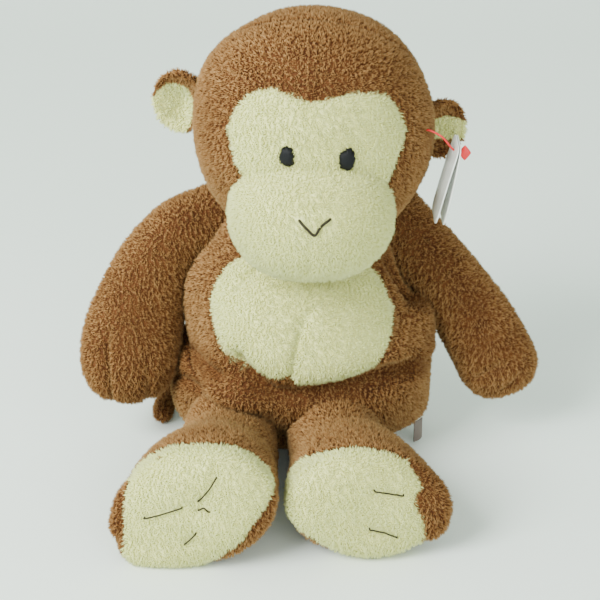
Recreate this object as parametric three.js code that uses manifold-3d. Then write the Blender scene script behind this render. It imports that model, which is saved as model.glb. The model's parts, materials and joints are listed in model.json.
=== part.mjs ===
// Sitting plush monkey: stuffed brown pile-fabric forms with cream face, muzzle, belly and soles.
// Millimetres, +Z up. The toy faces -Y, its own left side is +X, and the seat rests on z = 0.
import * as THREE from 'three';
import { mergeVertices } from 'three/addons/utils/BufferGeometryUtils.js';
import Module from 'manifold-3d';

const wasm = await Module();
wasm.setup();

// Sewing and fit
const FABRIC = 2.4;          // pile fabric, backing and loops together
const SEAM = 0.3;            // gap between two pieces that touch
const FILL_EASE = 0.6;       // gap between a skin and its filling
const STUFFING_MOUTH = 7;    // radius of the gathered hole that a stuffed form is filled through

// Head: a ball that turns and nods in the hollow of the shoulders
const HEAD = { x: 6.5, y: -14, z: 166, radius: 55.5, around: 26, along: 18 };
const NECK = { thick: 2.6, inner: 10, outer: 18 };
const NECK_HOLE = 30;         // depth of the hole that the body is filled through, from the head down

// Face: the cream mask has two lobes over the eyes. Here x and z are measured from the head's centre.
const MASK = {
  x: 0.3, halfWide: 38.5, lobeX: 19, top: 31.5, dip: 28.5, bottom: -24, bottomHalfWide: 27, back: -10,
};
const EYE = { halfWide: 2.9, halfHigh: 4.5, raise: 1.1 };
const EYES = [{ side: 'right', x: -12.9, z: 5.4 }, { side: 'left', x: 13.6, z: 4.6 }];
const MOUTH = { x: -0.3, z: -18.2, halfWide: 6.6, high: 5, line: 1.7, raise: 1 };

// Muzzle: y is measured from the front of the head, so the bag starts inside it and stands out before it.
const MUZZLE = {
  path: [[0.3, 37.5, -27.5], [-0.3, 11.5, -28.1], [-1.7, -15, -32.5]],
  sizes: [[36, 29.5, 4], [38, 29.4, 4], [35, 25.3, 4]],
  caps: [8, 33], side: [1, 0, 0], around: 22, along: 11, square: 2.2,
};

// Ears: two-layer cups, open to the front. Each is sewn into the head this far round from the front and up.
const EAR = { cup: 8, layer: 2.1, rings: 3, around: 18, fold: 20 };
const EARS = [
  {
    side: 'right', sign: -1, round: 94.26, up: 11.03, sunk: 0.64,
    reach: 8.5, halfWide: 12, halfHigh: 13.8, face: 18,
  },
  {
    side: 'left', sign: 1, round: 94.26, up: -2.66, sunk: 1.59,
    reach: 6, halfWide: 12, halfHigh: 13, face: 30,
  },
];

// Body: a pear that slumps on its pellet-filled seat, the belly hanging over the legs
const BODY = {
  path: [[0, 5, -4], [0, 3, 22], [3.5, -5, 50], [0.5, -8, 75], [2, -3, 102], [4, 4, 130]],
  sizes: [[53, 33, 0], [64.5, 37, 0], [59.5, 51, 0], [50.5, 49, 0], [42, 29.5, 0], [30, 22, 0]],
  caps: [20, 18], side: [1, 0, 0], around: 26, along: 16, square: 2.3,
};
const PATCH = { x: 1, z: 85, halfWide: 42.5, halfHigh: 30, back: -8 };
const PELLETS = { top: 30 };

// Limbs: each root is a ball in a hollow of the body, and the pivot is its centre
const ARM = {
  radius: 17, raise: 60, side: [0.75, 0, -0.65], around: 18, along: 12, room: { endRadius: 20, reach: 38 },
};
const ARMS = [
  {
    side: 'right', sign: -1, pivot: [-40, 14, 111],
    path: [[-59.5, 9, 102.5], [-75.5, 2, 80], [-83.8, -8.5, 52], [-82.4, -17.5, 25]],
    sizes: [[17.5, 17], [20.5, 17.5], [23.6, 17], [23.2, 14]], cap: 22,
  },
  {
    side: 'left', sign: 1, pivot: [44.6, 14.6, 110.6],
    path: [[57, 10, 96.5], [76.3, 4, 75], [91.5, -2, 51], [104, -7, 24]],
    sizes: [[17.5, 17], [18.3, 17], [20.5, 16.5], [20, 13.5]], cap: 20,
  },
];

const LEG = {
  radius: 22.5, height: 22, pivotY: -40, splay: 35, side: [1, 0, 0], around: 20, along: 14,
  room: { endRadius: 28, reach: 45 },
};
const LEGS = [
  {
    side: 'right', sign: -1, pivotX: -33.4,
    path: [[-35, -68, 22.5], [-42, -98, 26.8], [-48.1, -129, 29.3]],
    sizes: [[25, 22.5, 0], [34.5, 27.6, 18], [41, 29.2, 24]], cap: 13,
    sole: { shift: [3.5, 1], halfWide: 34, halfHigh: 26.2, tilt: 26 },
  },
  {
    side: 'left', sign: 1, pivotX: 16.2,
    path: [[19, -66, 22.5], [26.5, -95, 25.6], [30.4, -123.5, 27.3]],
    sizes: [[25, 22.5, 0], [33, 26.2, -6], [38.5, 27.3, -8]], cap: 13,
    sole: { shift: [-7.4, 0.5], halfWide: 31, halfHigh: 25.3, tilt: -8 },
  },
];

const TAIL = {
  pivot: [0, 40, 6.4], radius: 6, swing: 60, side: [0, 0, 1], room: { endRadius: 6, reach: 16 },
  path: [[-24, 52, 6], [-52, 46, 5.8], [-67, 26, 5.6], [-70, 4, 5.5]], around: 10, along: 16,
};

// Blank ribbon label sewn into the side seam
const LABEL = { y: -14, reach: 6.5, low: 1.5, high: 12.5, thick: 0.8, back: 50 };

// Blank card of two leaves, pinned near its top by a nylon tie that is fixed in the head by the left ear
const TAG = {
  out: 12, drop: 4.8, wide: 24, high: 37.5, corner: 4.5, thick: 0.5,
  leans: { back: 14.5, front: 10 }, holeDown: 4.5, holeRadius: 1.6,
};
const TIE = {
  round: 68.6, up: 5.7, rise: 1.5, wire: 0.7, lift: 0.15, buried: 3, stub: 4.4,
  button: { halfWide: 2.4, halfHigh: 3.6, thick: 1.2 },
};

const COLOURS = {
  brown: [0x9a6a44, 0.95], cream: [0xdedbc0, 0.95], fibre: [0xf1f1ee, 1], pellet: [0xd7dcd8, 0.7],
  thread: [0x1b1512, 0.6], label: [0xe9e8e4, 0.8], card: [0xf4f4f1, 0.5], nylon: [0xc4161c, 0.35],
};

// Facets of curves: steps round an oval or a bend, along the tie, round a hole and round the neck's ring
const FACETS = { oval: 10, bend: 4, tie: 14, hole: 12, post: 16, ring: 24, ringArc: 4 };

const headCentre = [HEAD.x, HEAD.y, HEAD.z];
const headFront = HEAD.y - HEAD.radius;

const toy = new THREE.Group();
toy.name = 'plush_monkey';
const materials = Object.fromEntries(Object.entries(COLOURS).map(([name, [color, roughness]]) => (
  [name, new THREE.MeshStandardMaterial({ name, color, roughness, metalness: 0 })]
)));

// Solids and meshes

function solidOf(geometry) {
  geometry.deleteAttribute('normal');
  geometry.deleteAttribute('uv');
  const merged = mergeVertices(geometry, 1e-4);
  return new wasm.Manifold(new wasm.Mesh({
    numProp: 3,
    vertProperties: Float32Array.from(merged.attributes.position.array),
    triVerts: Uint32Array.from(merged.index.array),
  }));
}

function add(name, solid, material) {
  const { vertProperties, triVerts } = solid.getMesh();
  const geometry = new THREE.BufferGeometry();
  geometry.setAttribute('position', new THREE.BufferAttribute(vertProperties, 3));
  geometry.setIndex(new THREE.BufferAttribute(triVerts, 1));
  geometry.computeVertexNormals();
  const mesh = new THREE.Mesh(geometry, materials[material]);
  mesh.name = name;
  toy.add(mesh);
}

function joinAll(solids) {
  return solids.reduce((whole, solid) => whole.add(solid));
}

// Lofted forms: a section carried along a curve, with domed ends

function curvePoint(knots, u) {
  const last = knots.length - 1;
  const place = Math.min(Math.max(u, 0), 1) * last;
  const i = Math.min(Math.floor(place), last - 1);
  const w = place - i;
  return knots[0].map((_, k) => {
    const b = knots[i][k];
    const c = knots[i + 1][k];
    const a = i > 0 ? knots[i - 1][k] : 2 * b - c;
    const d = i + 2 <= last ? knots[i + 2][k] : 2 * c - b;
    return 0.5 * (2 * b + (c - a) * w + (2 * a - 5 * b + 4 * c - d) * w ** 2
      + (3 * b - a - 3 * c + d) * w ** 3);
  });
}

function vector(values) {
  return new THREE.Vector3(values[0], values[1], values[2]);
}

// Ends of the path move out with the growth, so the whole skin lies that far outside the form.
function grownPath(path, grow) {
  const first = vector(path[0]);
  const last = vector(path[path.length - 1]);
  const out = first.clone().sub(vector(path[1])).setLength(Math.abs(grow)).multiplyScalar(Math.sign(grow));
  const on = last.clone().sub(vector(path[path.length - 2])).setLength(Math.abs(grow))
    .multiplyScalar(Math.sign(grow));
  return [first.add(out).toArray(), ...path.slice(1, -1), last.add(on).toArray()];
}

const PATH_STEPS = 240;

function arcLengths(path) {
  const lengths = [0];
  let before = vector(curvePoint(path, 0));
  for (let k = 1; k <= PATH_STEPS; k += 1) {
    const here = vector(curvePoint(path, k / PATH_STEPS));
    lengths.push(lengths[k - 1] + here.distanceTo(before));
    before = here;
  }
  return lengths;
}

function shareAt(lengths, distance) {
  const k = lengths.findIndex((length) => length >= distance);
  if (k === 0) return 0;
  if (k < 0) return 1;
  return (k - (lengths[k] - distance) / (lengths[k] - lengths[k - 1])) / PATH_STEPS;
}

function lengthAt(lengths, share) {
  const k = Math.min(Math.floor(share * PATH_STEPS), PATH_STEPS - 1);
  return THREE.MathUtils.lerp(lengths[k], lengths[k + 1], share * PATH_STEPS - k);
}

function domeShare(distance, cap) {
  const back = Math.max(0, 1 - distance / cap);
  return Math.sqrt(Math.max(0, 1 - back * back));
}

// A cosine or sine bent so that a section is an ellipse at 2 and squarer above it.
function rounded(value, square = 2) {
  return Math.sign(value) * Math.abs(value) ** (2 / square);
}

const STEP = 1e-3;

// The rows lie at the same shares of the path in a form and in its cores, so their facets are parallel.
function loftGeometry(form, grow = 0, detail = 1) {
  const around = Math.round(form.around * detail);
  const along = Math.round(form.along * detail);
  const path = grow ? grownPath(form.path, grow) : form.path;
  const plain = arcLengths(form.path);
  const lengths = arcLengths(path);
  const total = lengths[PATH_STEPS];
  const sideways = vector(form.side);
  const points = [];
  for (let row = 0; row <= along; row += 1) {
    const u = shareAt(plain, plain[PATH_STEPS] * (1 - Math.cos(Math.PI * row / along)) / 2);
    const distance = lengthAt(lengths, u);
    const centre = vector(curvePoint(path, u));
    if (row === 0 || row === along) {
      points.push(centre);
      continue;
    }
    const ahead = vector(curvePoint(path, u + STEP)).sub(vector(curvePoint(path, u - STEP))).normalize();
    const across = sideways.clone().addScaledVector(ahead, -sideways.dot(ahead)).normalize();
    const upward = ahead.clone().cross(across);
    const [wide, deep, roll = 0] = curvePoint(form.sizes, u);
    const dome = domeShare(distance, form.caps[0] + grow)
      * domeShare(total - distance, form.caps[1] + grow);
    const turn = THREE.MathUtils.degToRad(roll);
    for (let k = 0; k < around; k += 1) {
      const angle = 2 * Math.PI * k / around;
      const x = (wide + grow) * dome * rounded(Math.cos(angle), form.square);
      const y = (deep + grow) * dome * rounded(Math.sin(angle), form.square);
      points.push(centre.clone()
        .addScaledVector(across, x * Math.cos(turn) - y * Math.sin(turn))
        .addScaledVector(upward, x * Math.sin(turn) + y * Math.cos(turn)));
    }
  }
  return ringsGeometry(points, around, along);
}

function loft(form, grow, detail) {
  return solidOf(loftGeometry(form, grow, detail));
}

// One point, rings of `around` points, then one point: the faces between them close the form.
function ringsGeometry(points, around, along) {
  const at = (row, k) => 1 + (row - 1) * around + (k % around);
  const lastPoint = points.length - 1;
  const faces = [];
  for (let k = 0; k < around; k += 1) {
    faces.push(0, at(1, k + 1), at(1, k));
    faces.push(lastPoint, at(along - 1, k), at(along - 1, k + 1));
    for (let row = 1; row < along - 1; row += 1) {
      faces.push(at(row, k), at(row, k + 1), at(row + 1, k));
      faces.push(at(row, k + 1), at(row + 1, k + 1), at(row + 1, k));
    }
  }
  const geometry = new THREE.BufferGeometry();
  const positions = points.flatMap((point) => point.toArray());
  geometry.setAttribute('position', new THREE.Float32BufferAttribute(positions, 3));
  geometry.setIndex(faces);
  return geometry;
}

// Cutting tools

function box(low, high) {
  const size = high.map((value, k) => value - low[k]);
  const geometry = new THREE.BoxGeometry(...size);
  geometry.translate(...low.map((value, k) => value + size[k] / 2));
  return solidOf(geometry);
}

const FAR = 400;

function below(height) {
  return box([-FAR, -FAR, -FAR], [FAR, FAR, height]);
}

const belowFloor = below(0);

// A ball whose flat facets all lie outside the radius, so that a round part turns freely in it.
function ball(centre, radius, segments) {
  const outside = radius / Math.cos(Math.PI / segments) ** 2;
  const geometry = new THREE.SphereGeometry(outside, segments, segments / 2);
  geometry.translate(...centre);
  return solidOf(geometry);
}

// A cone with a round root about the origin, along +Y: a limb's root turns freely in it.
function rootConeGeometry(rootRadius, endRadius, reach) {
  const outside = 1 / Math.cos(Math.PI / ROOM.segments) ** 2;
  const rows = ROOM.segments / 4;
  const profile = [];
  for (let row = 0; row < rows; row += 1) {
    const angle = Math.PI / 2 * row / rows;
    const radius = rootRadius * outside;
    profile.push(new THREE.Vector2(radius * Math.sin(angle), -radius * Math.cos(angle)));
  }
  profile.push(new THREE.Vector2(rootRadius * outside, 0));
  profile.push(new THREE.Vector2(endRadius * outside, reach));
  profile.push(new THREE.Vector2(0, reach));
  return new THREE.LatheGeometry(profile, ROOM.segments);
}

// The slab of space between two positions of a limb that swings about its pivot.
function swingSlabGeometry(limb, halfThick) {
  const shape = new THREE.Shape();
  shape.moveTo(0, 0);
  shape.absarc(0, 0, limb.room.reach, 0, THREE.MathUtils.degToRad(limb.swing), false);
  const geometry = new THREE.ExtrudeGeometry(
    shape, { depth: 2 * halfThick, bevelEnabled: false, curveSegments: ROOM.slabSegments });
  geometry.translate(0, 0, -halfThick);
  const alongAxis = limb.direction.dot(limb.axis);
  const flat = limb.direction.clone().addScaledVector(limb.axis, -alongAxis).normalize();
  geometry.applyMatrix4(new THREE.Matrix4().makeBasis(flat, limb.axis.clone().cross(flat), limb.axis));
  return geometry;
}

// The room that a limb's root needs at rest, at the end of its swing and in between.
function limbRoom(limb) {
  const atRest = rootConeGeometry(limb.radius + SEAM, limb.room.endRadius + SEAM, limb.room.reach);
  const upward = new THREE.Vector3(0, 1, 0);
  atRest.applyQuaternion(new THREE.Quaternion().setFromUnitVectors(upward, limb.direction));
  const swing = new THREE.Matrix4().makeRotationAxis(limb.axis, THREE.MathUtils.degToRad(limb.swing));
  const between = swingSlabGeometry(limb, limb.radius + SEAM);
  const positions = [atRest, atRest.clone().applyMatrix4(swing), between];
  return joinAll(positions.map((geometry) => solidOf(geometry.translate(...limb.pivot))));
}

// An outline in x and z carried along y.
function prismGeometry(shape, from, to) {
  const geometry = new THREE.ExtrudeGeometry(
    shape, { depth: to - from, bevelEnabled: false, curveSegments: FACETS.oval });
  geometry.rotateX(Math.PI / 2);
  geometry.translate(0, to, 0);
  return geometry;
}

function prism(shape, from, to) {
  return solidOf(prismGeometry(shape, from, to));
}

function oval(x, z, halfWide, halfHigh, tilt = 0) {
  const shape = new THREE.Shape();
  shape.absellipse(x, z, halfWide, halfHigh, 0, 2 * Math.PI, false, THREE.MathUtils.degToRad(tilt));
  return shape;
}

// Skins are hollow: a form less the same form one fabric thickness in.
const CORE_DETAIL = 0.5;
const ROOM = { segments: 12, slabSegments: 3, headSegments: 32 };

function coreOf(form, inset) {
  return loft(form, -inset, CORE_DETAIL);
}

// Limb forms start one radius behind the pivot, so the root is a ball about it.
function limbForm(pivot, radius, limb, side, around, along) {
  const centre = vector(pivot);
  const back = centre.clone().sub(vector(limb.path[0])).setLength(radius);
  const root = [radius, radius, 0];
  return {
    path: [centre.add(back).toArray(), pivot, ...limb.path],
    sizes: [root, root, ...limb.sizes.map(([wide, deep, roll = 0]) => [wide, deep, roll])],
    caps: [radius, limb.cap], side, around, along,
  };
}

for (const arm of ARMS) {
  const side = [-arm.sign * ARM.side[0], ARM.side[1], ARM.side[2]];
  arm.form = limbForm(arm.pivot, ARM.radius, arm, side, ARM.around, ARM.along);
  arm.direction = vector(arm.path[0]).sub(vector(arm.pivot)).normalize();
  arm.axis = new THREE.Vector3(0, -arm.sign, 0);
  Object.assign(arm, { radius: ARM.radius, swing: ARM.raise, room: ARM.room });
}
for (const leg of LEGS) {
  leg.pivot = [leg.pivotX, LEG.pivotY, LEG.height];
  leg.form = limbForm(leg.pivot, LEG.radius, leg, LEG.side, LEG.around, LEG.along);
  leg.direction = vector(leg.path[0]).sub(vector(leg.pivot)).normalize();
  leg.axis = new THREE.Vector3(0, 0, leg.sign);
  Object.assign(leg, { radius: LEG.radius, swing: LEG.splay, room: LEG.room });
}
const tailSection = [TAIL.radius, TAIL.radius];
const tail = { ...TAIL, sizes: TAIL.path.map(() => tailSection), cap: TAIL.radius };
tail.form = limbForm(TAIL.pivot, TAIL.radius, tail, TAIL.side, TAIL.around, TAIL.along);
tail.direction = vector(TAIL.path[0]).sub(vector(TAIL.pivot)).normalize();
tail.axis = new THREE.Vector3(0, 0, -1);

// The dish that the head and the neck ring sit in, with a wall round it for the fabric that lines it.
function neckRoom(wall) {
  return ball(headCentre, HEAD.radius + SEAM + wall, ROOM.headSegments).add(neckRing(SEAM + wall));
}

// Neck gusset: a ring of fabric on a sphere about the head's centre, which the head nods on.
function neckRing(grow = 0) {
  const low = HEAD.radius + SEAM + NECK.thick + grow;
  const high = HEAD.radius + SEAM - grow;
  const outer = NECK.outer + grow;
  const inner = Math.max(NECK.inner - grow, SEAM);
  const profile = [];
  const steps = FACETS.ringArc;
  const arc = (radius, from, to) => {
    for (let k = 0; k <= steps; k += 1) {
      const reach = from + (to - from) * k / steps;
      profile.push(new THREE.Vector2(reach, -Math.sqrt(radius * radius - reach * reach)));
    }
  };
  arc(low, inner, outer);
  arc(high, outer, inner);
  profile.push(profile[0].clone());
  const geometry = new THREE.LatheGeometry(profile, FACETS.ring);
  geometry.rotateX(Math.PI / 2);
  geometry.translate(HEAD.x, HEAD.y, HEAD.z);
  return solidOf(geometry);
}

// Body

function upright(x, y, radius, from, to) {
  const geometry = new THREE.CylinderGeometry(radius, radius, to - from, FACETS.post);
  geometry.rotateX(Math.PI / 2);
  geometry.translate(x, y, (from + to) / 2);
  return solidOf(geometry);
}

// The limbs come out of openings in the skin, and their roots lie in hollows of the filling.
function makeBody() {
  const limbRooms = joinAll([...ARMS, ...LEGS, tail].map(limbRoom));
  const headBottom = HEAD.z - HEAD.radius;
  const neckHole = upright(HEAD.x, HEAD.y, STUFFING_MOUTH, headBottom - NECK_HOLE, headBottom);
  const outside = loft(BODY).subtract(neckRoom(0)).subtract(belowFloor);
  const inside = coreOf(BODY, FABRIC).subtract(neckRoom(FABRIC)).subtract(below(FABRIC));
  const skin = outside.subtract(inside).subtract(neckHole).subtract(limbRooms);
  const patch = (grow) => prism(
    oval(PATCH.x, PATCH.z, PATCH.halfWide + grow, PATCH.halfHigh + grow), -FAR, PATCH.back);
  add('body_skin', skin.subtract(patch(SEAM / 2)), 'brown');
  add('belly_patch', skin.intersect(patch(-SEAM / 2)), 'cream');
  const inset = FABRIC + FILL_EASE;
  const filling = coreOf(BODY, inset).subtract(neckRoom(inset)).subtract(limbRooms);
  const pellets = filling.subtract(below(FABRIC + SEAM));
  add('seat_pellet_bag', pellets.intersect(below(PELLETS.top)), 'pellet');
  add('body_stuffing', filling.subtract(below(PELLETS.top + SEAM)), 'fibre');
}

// Head, face and neck

const headForm = {
  path: [-1, 0, 1].map((end) => [HEAD.x, HEAD.y, HEAD.z + end * HEAD.radius]),
  sizes: [-1, 0, 1].map(() => [HEAD.radius, HEAD.radius, 0]),
  caps: [HEAD.radius, HEAD.radius], side: [1, 0, 0], around: HEAD.around, along: HEAD.along,
};

// The handles of the mask's curves lie these shares of its size out from its lobes and its waist.
const MASK_HANDLES = { waist: 0.3, cheek: 1.1, lobe: 0.55, dip: 0.4 };

function maskOutline(grow) {
  const wide = MASK.halfWide + grow;
  const top = MASK.top + grow;
  const dip = MASK.dip + grow;
  const low = MASK.bottom - grow;
  const lowWide = MASK.bottomHalfWide + grow;
  const waist = MASK_HANDLES.waist * MASK.bottom;
  const cheek = MASK_HANDLES.cheek * wide;
  const inLobe = MASK_HANDLES.lobe * MASK.lobeX;
  const inDip = MASK_HANDLES.dip * MASK.lobeX;
  const shape = new THREE.Shape();
  shape.moveTo(-lowWide, low);
  shape.bezierCurveTo(-wide, waist, -cheek, top, -MASK.lobeX, top);
  shape.bezierCurveTo(-inLobe, top, -inDip, dip, 0, dip);
  shape.bezierCurveTo(inDip, dip, inLobe, top, MASK.lobeX, top);
  shape.bezierCurveTo(cheek, top, wide, waist, lowWide, low);
  return shape;
}

function maskPrism(grow) {
  const geometry = prismGeometry(maskOutline(grow), -FAR, HEAD.y + MASK.back);
  geometry.translate(HEAD.x + MASK.x, 0, HEAD.z);
  return solidOf(geometry);
}

function makeHead() {
  const mouth = upright(HEAD.x, HEAD.y, STUFFING_MOUTH, HEAD.z - HEAD.radius - FABRIC, HEAD.z);
  const skin = loft(headForm).subtract(coreOf(headForm, FABRIC)).subtract(mouth);
  add('head_skin', skin.subtract(maskPrism(SEAM / 2)), 'brown');
  add('face_mask', skin.intersect(maskPrism(-SEAM / 2)), 'cream');
  add('head_stuffing', coreOf(headForm, FABRIC + FILL_EASE), 'fibre');
  add('neck_gusset', neckRing(), 'brown');
  const under = loft(headForm, SEAM);
  for (const eye of EYES) {
    const stitched = loft(headForm, SEAM + EYE.raise)
      .intersect(prism(oval(HEAD.x + eye.x, HEAD.z + eye.z, EYE.halfWide, EYE.halfHigh), -FAR, HEAD.y));
    add(`eye_${eye.side}`, stitched.subtract(under), 'thread');
  }
}

const muzzleForm = {
  ...MUZZLE, path: MUZZLE.path.map(([x, y, z]) => [HEAD.x + x, headFront + y, HEAD.z + z]),
};

function makeMuzzle() {
  const head = loft(headForm, SEAM);
  add('muzzle_skin', loft(muzzleForm).subtract(coreOf(muzzleForm, FABRIC)).subtract(head), 'cream');
  add('muzzle_stuffing', coreOf(muzzleForm, FABRIC + FILL_EASE).subtract(head), 'fibre');
  const smile = new THREE.Shape();
  const half = MOUTH.halfWide;
  const low = -MOUTH.high;
  smile.moveTo(-half, 0);
  smile.lineTo(-half + MOUTH.line, MOUTH.line / 2);
  smile.lineTo(0, low + MOUTH.line);
  smile.lineTo(half - MOUTH.line, MOUTH.line / 2);
  smile.lineTo(half, 0);
  smile.lineTo(0, low - MOUTH.line / 2);
  smile.closePath();
  const geometry = prismGeometry(smile, -FAR, muzzleForm.path[1][1]);
  geometry.translate(HEAD.x + MOUTH.x, 0, HEAD.z + MOUTH.z);
  const raised = loft(muzzleForm, SEAM + MOUTH.raise).intersect(solidOf(geometry));
  add('mouth_stitch', raised.subtract(loft(muzzleForm, SEAM)).subtract(head), 'thread');
}

// A place in the head's surface, round from its front towards the given side and up from its middle.
function headDirection({ sign = 1, round, up }) {
  const turn = THREE.MathUtils.degToRad(round);
  const rise = THREE.MathUtils.degToRad(up);
  return new THREE.Vector3(
    sign * Math.cos(rise) * Math.sin(turn), -Math.cos(rise) * Math.cos(turn), Math.sin(rise));
}

for (const ear of EARS) {
  const root = vector(headCentre).addScaledVector(headDirection(ear), HEAD.radius - ear.sunk);
  ear.root = root.toArray();
}

// A cup one layer thick: out along its back, over the rim and in along its front.
function cupGeometry(ear, nearest) {
  const points = [];
  const rowAt = (share, depth) => {
    const y = EAR.cup * (1 - share * share) + depth;
    if (share === 0) {
      points.push(new THREE.Vector3(0, y, 0));
      return;
    }
    for (let k = 0; k < EAR.around; k += 1) {
      const angle = 2 * Math.PI * k / EAR.around;
      points.push(new THREE.Vector3(ear.halfWide * share * Math.cos(angle), y,
        ear.halfHigh * share * Math.sin(angle)));
    }
  };
  for (let k = 0; k <= EAR.rings; k += 1) rowAt(k / EAR.rings, nearest + EAR.layer);
  for (let k = EAR.rings; k >= 0; k -= 1) rowAt(k / EAR.rings, nearest);
  const geometry = ringsGeometry(points, EAR.around, 2 * EAR.rings + 1);
  geometry.rotateZ(THREE.MathUtils.degToRad(ear.sign * ear.face));
  geometry.translate(ear.root[0] + ear.sign * ear.reach, ear.root[1], ear.root[2]);
  return geometry;
}

// The head as the ear meets it at each end of the ear's fold and at rest.
function headRoundEar(ear) {
  const root = vector(ear.root);
  return joinAll([-EAR.fold, 0, EAR.fold].map((fold) => {
    const centre = vector(headCentre).sub(root)
      .applyAxisAngle(new THREE.Vector3(0, 0, 1), THREE.MathUtils.degToRad(fold)).add(root);
    return ball(centre.toArray(), HEAD.radius, ROOM.headSegments);
  }));
}

function makeEar(ear) {
  const head = headRoundEar(ear);
  add(`ear_${ear.side}_lining`, solidOf(cupGeometry(ear, 0)).subtract(head), 'cream');
  add(`ear_${ear.side}_back`, solidOf(cupGeometry(ear, EAR.layer + SEAM)).subtract(head), 'brown');
}

// Arms, legs and tail

function makeArm(arm) {
  const mouth = new THREE.CylinderGeometry(STUFFING_MOUTH, STUFFING_MOUTH, 2 * ARM.radius, FACETS.hole);
  const back = vector(arm.form.path[0]).sub(vector(arm.pivot)).normalize();
  mouth.translate(0, ARM.radius, 0);
  mouth.applyQuaternion(new THREE.Quaternion().setFromUnitVectors(new THREE.Vector3(0, 1, 0), back));
  mouth.translate(...arm.pivot);
  const skin = loft(arm.form).subtract(coreOf(arm.form, FABRIC)).subtract(solidOf(mouth));
  add(`arm_${arm.side}_skin`, skin, 'brown');
  add(`arm_${arm.side}_stuffing`, coreOf(arm.form, FABRIC + FILL_EASE), 'fibre');
}

function makeLeg(leg) {
  const [endX, endY, endZ] = leg.path[leg.path.length - 1];
  const { shift, halfWide, halfHigh, tilt } = leg.sole;
  const sole = (grow) => prism(
    oval(endX + shift[0], endZ + shift[1], halfWide + grow, halfHigh + grow, tilt), -FAR, endY + leg.cap);
  const inside = coreOf(leg.form, FABRIC).subtract(below(FABRIC));
  const skin = loft(leg.form).subtract(belowFloor).subtract(inside);
  add(`leg_${leg.side}_skin`, skin.subtract(sole(SEAM / 2)), 'brown');
  add(`leg_${leg.side}_sole`, skin.intersect(sole(-SEAM / 2)), 'cream');
  const filling = coreOf(leg.form, FABRIC + FILL_EASE).subtract(below(FABRIC + SEAM));
  add(`leg_${leg.side}_stuffing`, filling, 'fibre');
}

// Label, card and tie

// The label's sewn edge is upright and clears the widest part of the seam beside it.
function makeLabel() {
  const strip = box([0, LABEL.y - LABEL.thick, LABEL.low], [FAR, LABEL.y + LABEL.thick, LABEL.high]);
  const seam = loft(BODY).intersect(strip).boundingBox().max[0] + SEAM;
  const geometry = new THREE.BoxGeometry(LABEL.reach, LABEL.thick, LABEL.high - LABEL.low);
  geometry.translate(LABEL.reach / 2, 0, (LABEL.high + LABEL.low) / 2);
  geometry.rotateZ(THREE.MathUtils.degToRad(LABEL.back));
  geometry.translate(seam + LABEL.thick / 2, LABEL.y, 0);
  add('sewn_label', solidOf(geometry), 'label');
}

// The tie leaves the head by its left ear, and the card's top edge hangs beside it.
const tieDirection = headDirection(TIE);
const tieRoot = vector(headCentre).addScaledVector(tieDirection, HEAD.radius);
const cardTop = tieRoot.clone().add(new THREE.Vector3(TAG.out, 0, -TAG.drop));

// A leaf hangs from the card's top edge, its outer face along the given side of that edge.
function makeLeaf(name, lean, from) {
  const shape = new THREE.Shape();
  const half = TAG.wide / 2;
  const round = TAG.corner;
  shape.moveTo(-half + round, -TAG.high);
  shape.lineTo(half - round, -TAG.high);
  shape.absarc(half - round, round - TAG.high, round, -Math.PI / 2, 0, false);
  shape.lineTo(half, -round);
  shape.absarc(half - round, -round, round, 0, Math.PI / 2, false);
  shape.lineTo(-half + round, 0);
  shape.absarc(-half + round, -round, round, Math.PI / 2, Math.PI, false);
  shape.lineTo(-half, round - TAG.high);
  shape.absarc(-half + round, round - TAG.high, round, Math.PI, 1.5 * Math.PI, false);
  const hole = new THREE.Path();
  hole.absarc(0, -TAG.holeDown, TAG.holeRadius, 0, 2 * Math.PI, true);
  shape.holes.push(hole);
  const geometry = new THREE.ExtrudeGeometry(
    shape, { depth: TAG.thick, bevelEnabled: false, curveSegments: FACETS.bend });
  geometry.translate(0, 0, from);
  geometry.applyMatrix4(new THREE.Matrix4().makeBasis(
    new THREE.Vector3(0, 1, 0), new THREE.Vector3(0, 0, 1), new THREE.Vector3(1, 0, 0)));
  geometry.rotateY(THREE.MathUtils.degToRad(lean));
  geometry.translate(...cardTop.toArray());
  add(name, solidOf(geometry), 'card');
}

function makeTie() {
  const lean = THREE.MathUtils.degToRad(TAG.leans.back);
  const out = new THREE.Vector3(Math.cos(lean), 0, -Math.sin(lean));
  const down = new THREE.Vector3(-Math.sin(lean), 0, -Math.cos(lean));
  const hole = cardTop.clone().addScaledVector(down, TAG.holeDown);
  const end = hole.clone().addScaledVector(out, TIE.stub);
  const high = tieRoot.clone().add(hole).divideScalar(2).add(new THREE.Vector3(0, 0, TIE.rise));
  const start = tieRoot.clone().addScaledVector(tieDirection, -TIE.buried);
  const route = new THREE.CatmullRomCurve3([start, tieRoot, high, hole, end]);
  const section = new THREE.Shape();
  section.absarc(0, 0, TIE.wire, 0, 2 * Math.PI, false);
  const wire = new THREE.ExtrudeGeometry(
    section, { steps: FACETS.tie, extrudePath: route, curveSegments: FACETS.bend });
  const { halfWide, halfHigh, thick } = TIE.button;
  const rhomb = new THREE.Shape();
  rhomb.moveTo(-halfWide, 0);
  rhomb.lineTo(0, -halfHigh);
  rhomb.lineTo(halfWide, 0);
  rhomb.lineTo(0, halfHigh);
  rhomb.closePath();
  const button = new THREE.ExtrudeGeometry(rhomb, { depth: thick, bevelEnabled: false });
  button.rotateX(Math.PI / 2);
  button.translate(end.x, end.y + thick / 2, end.z);
  const loose = solidOf(wire).subtract(loft(headForm, SEAM + TIE.lift));
  add('tag_tie', loose.add(solidOf(button)), 'nylon');
}

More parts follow.
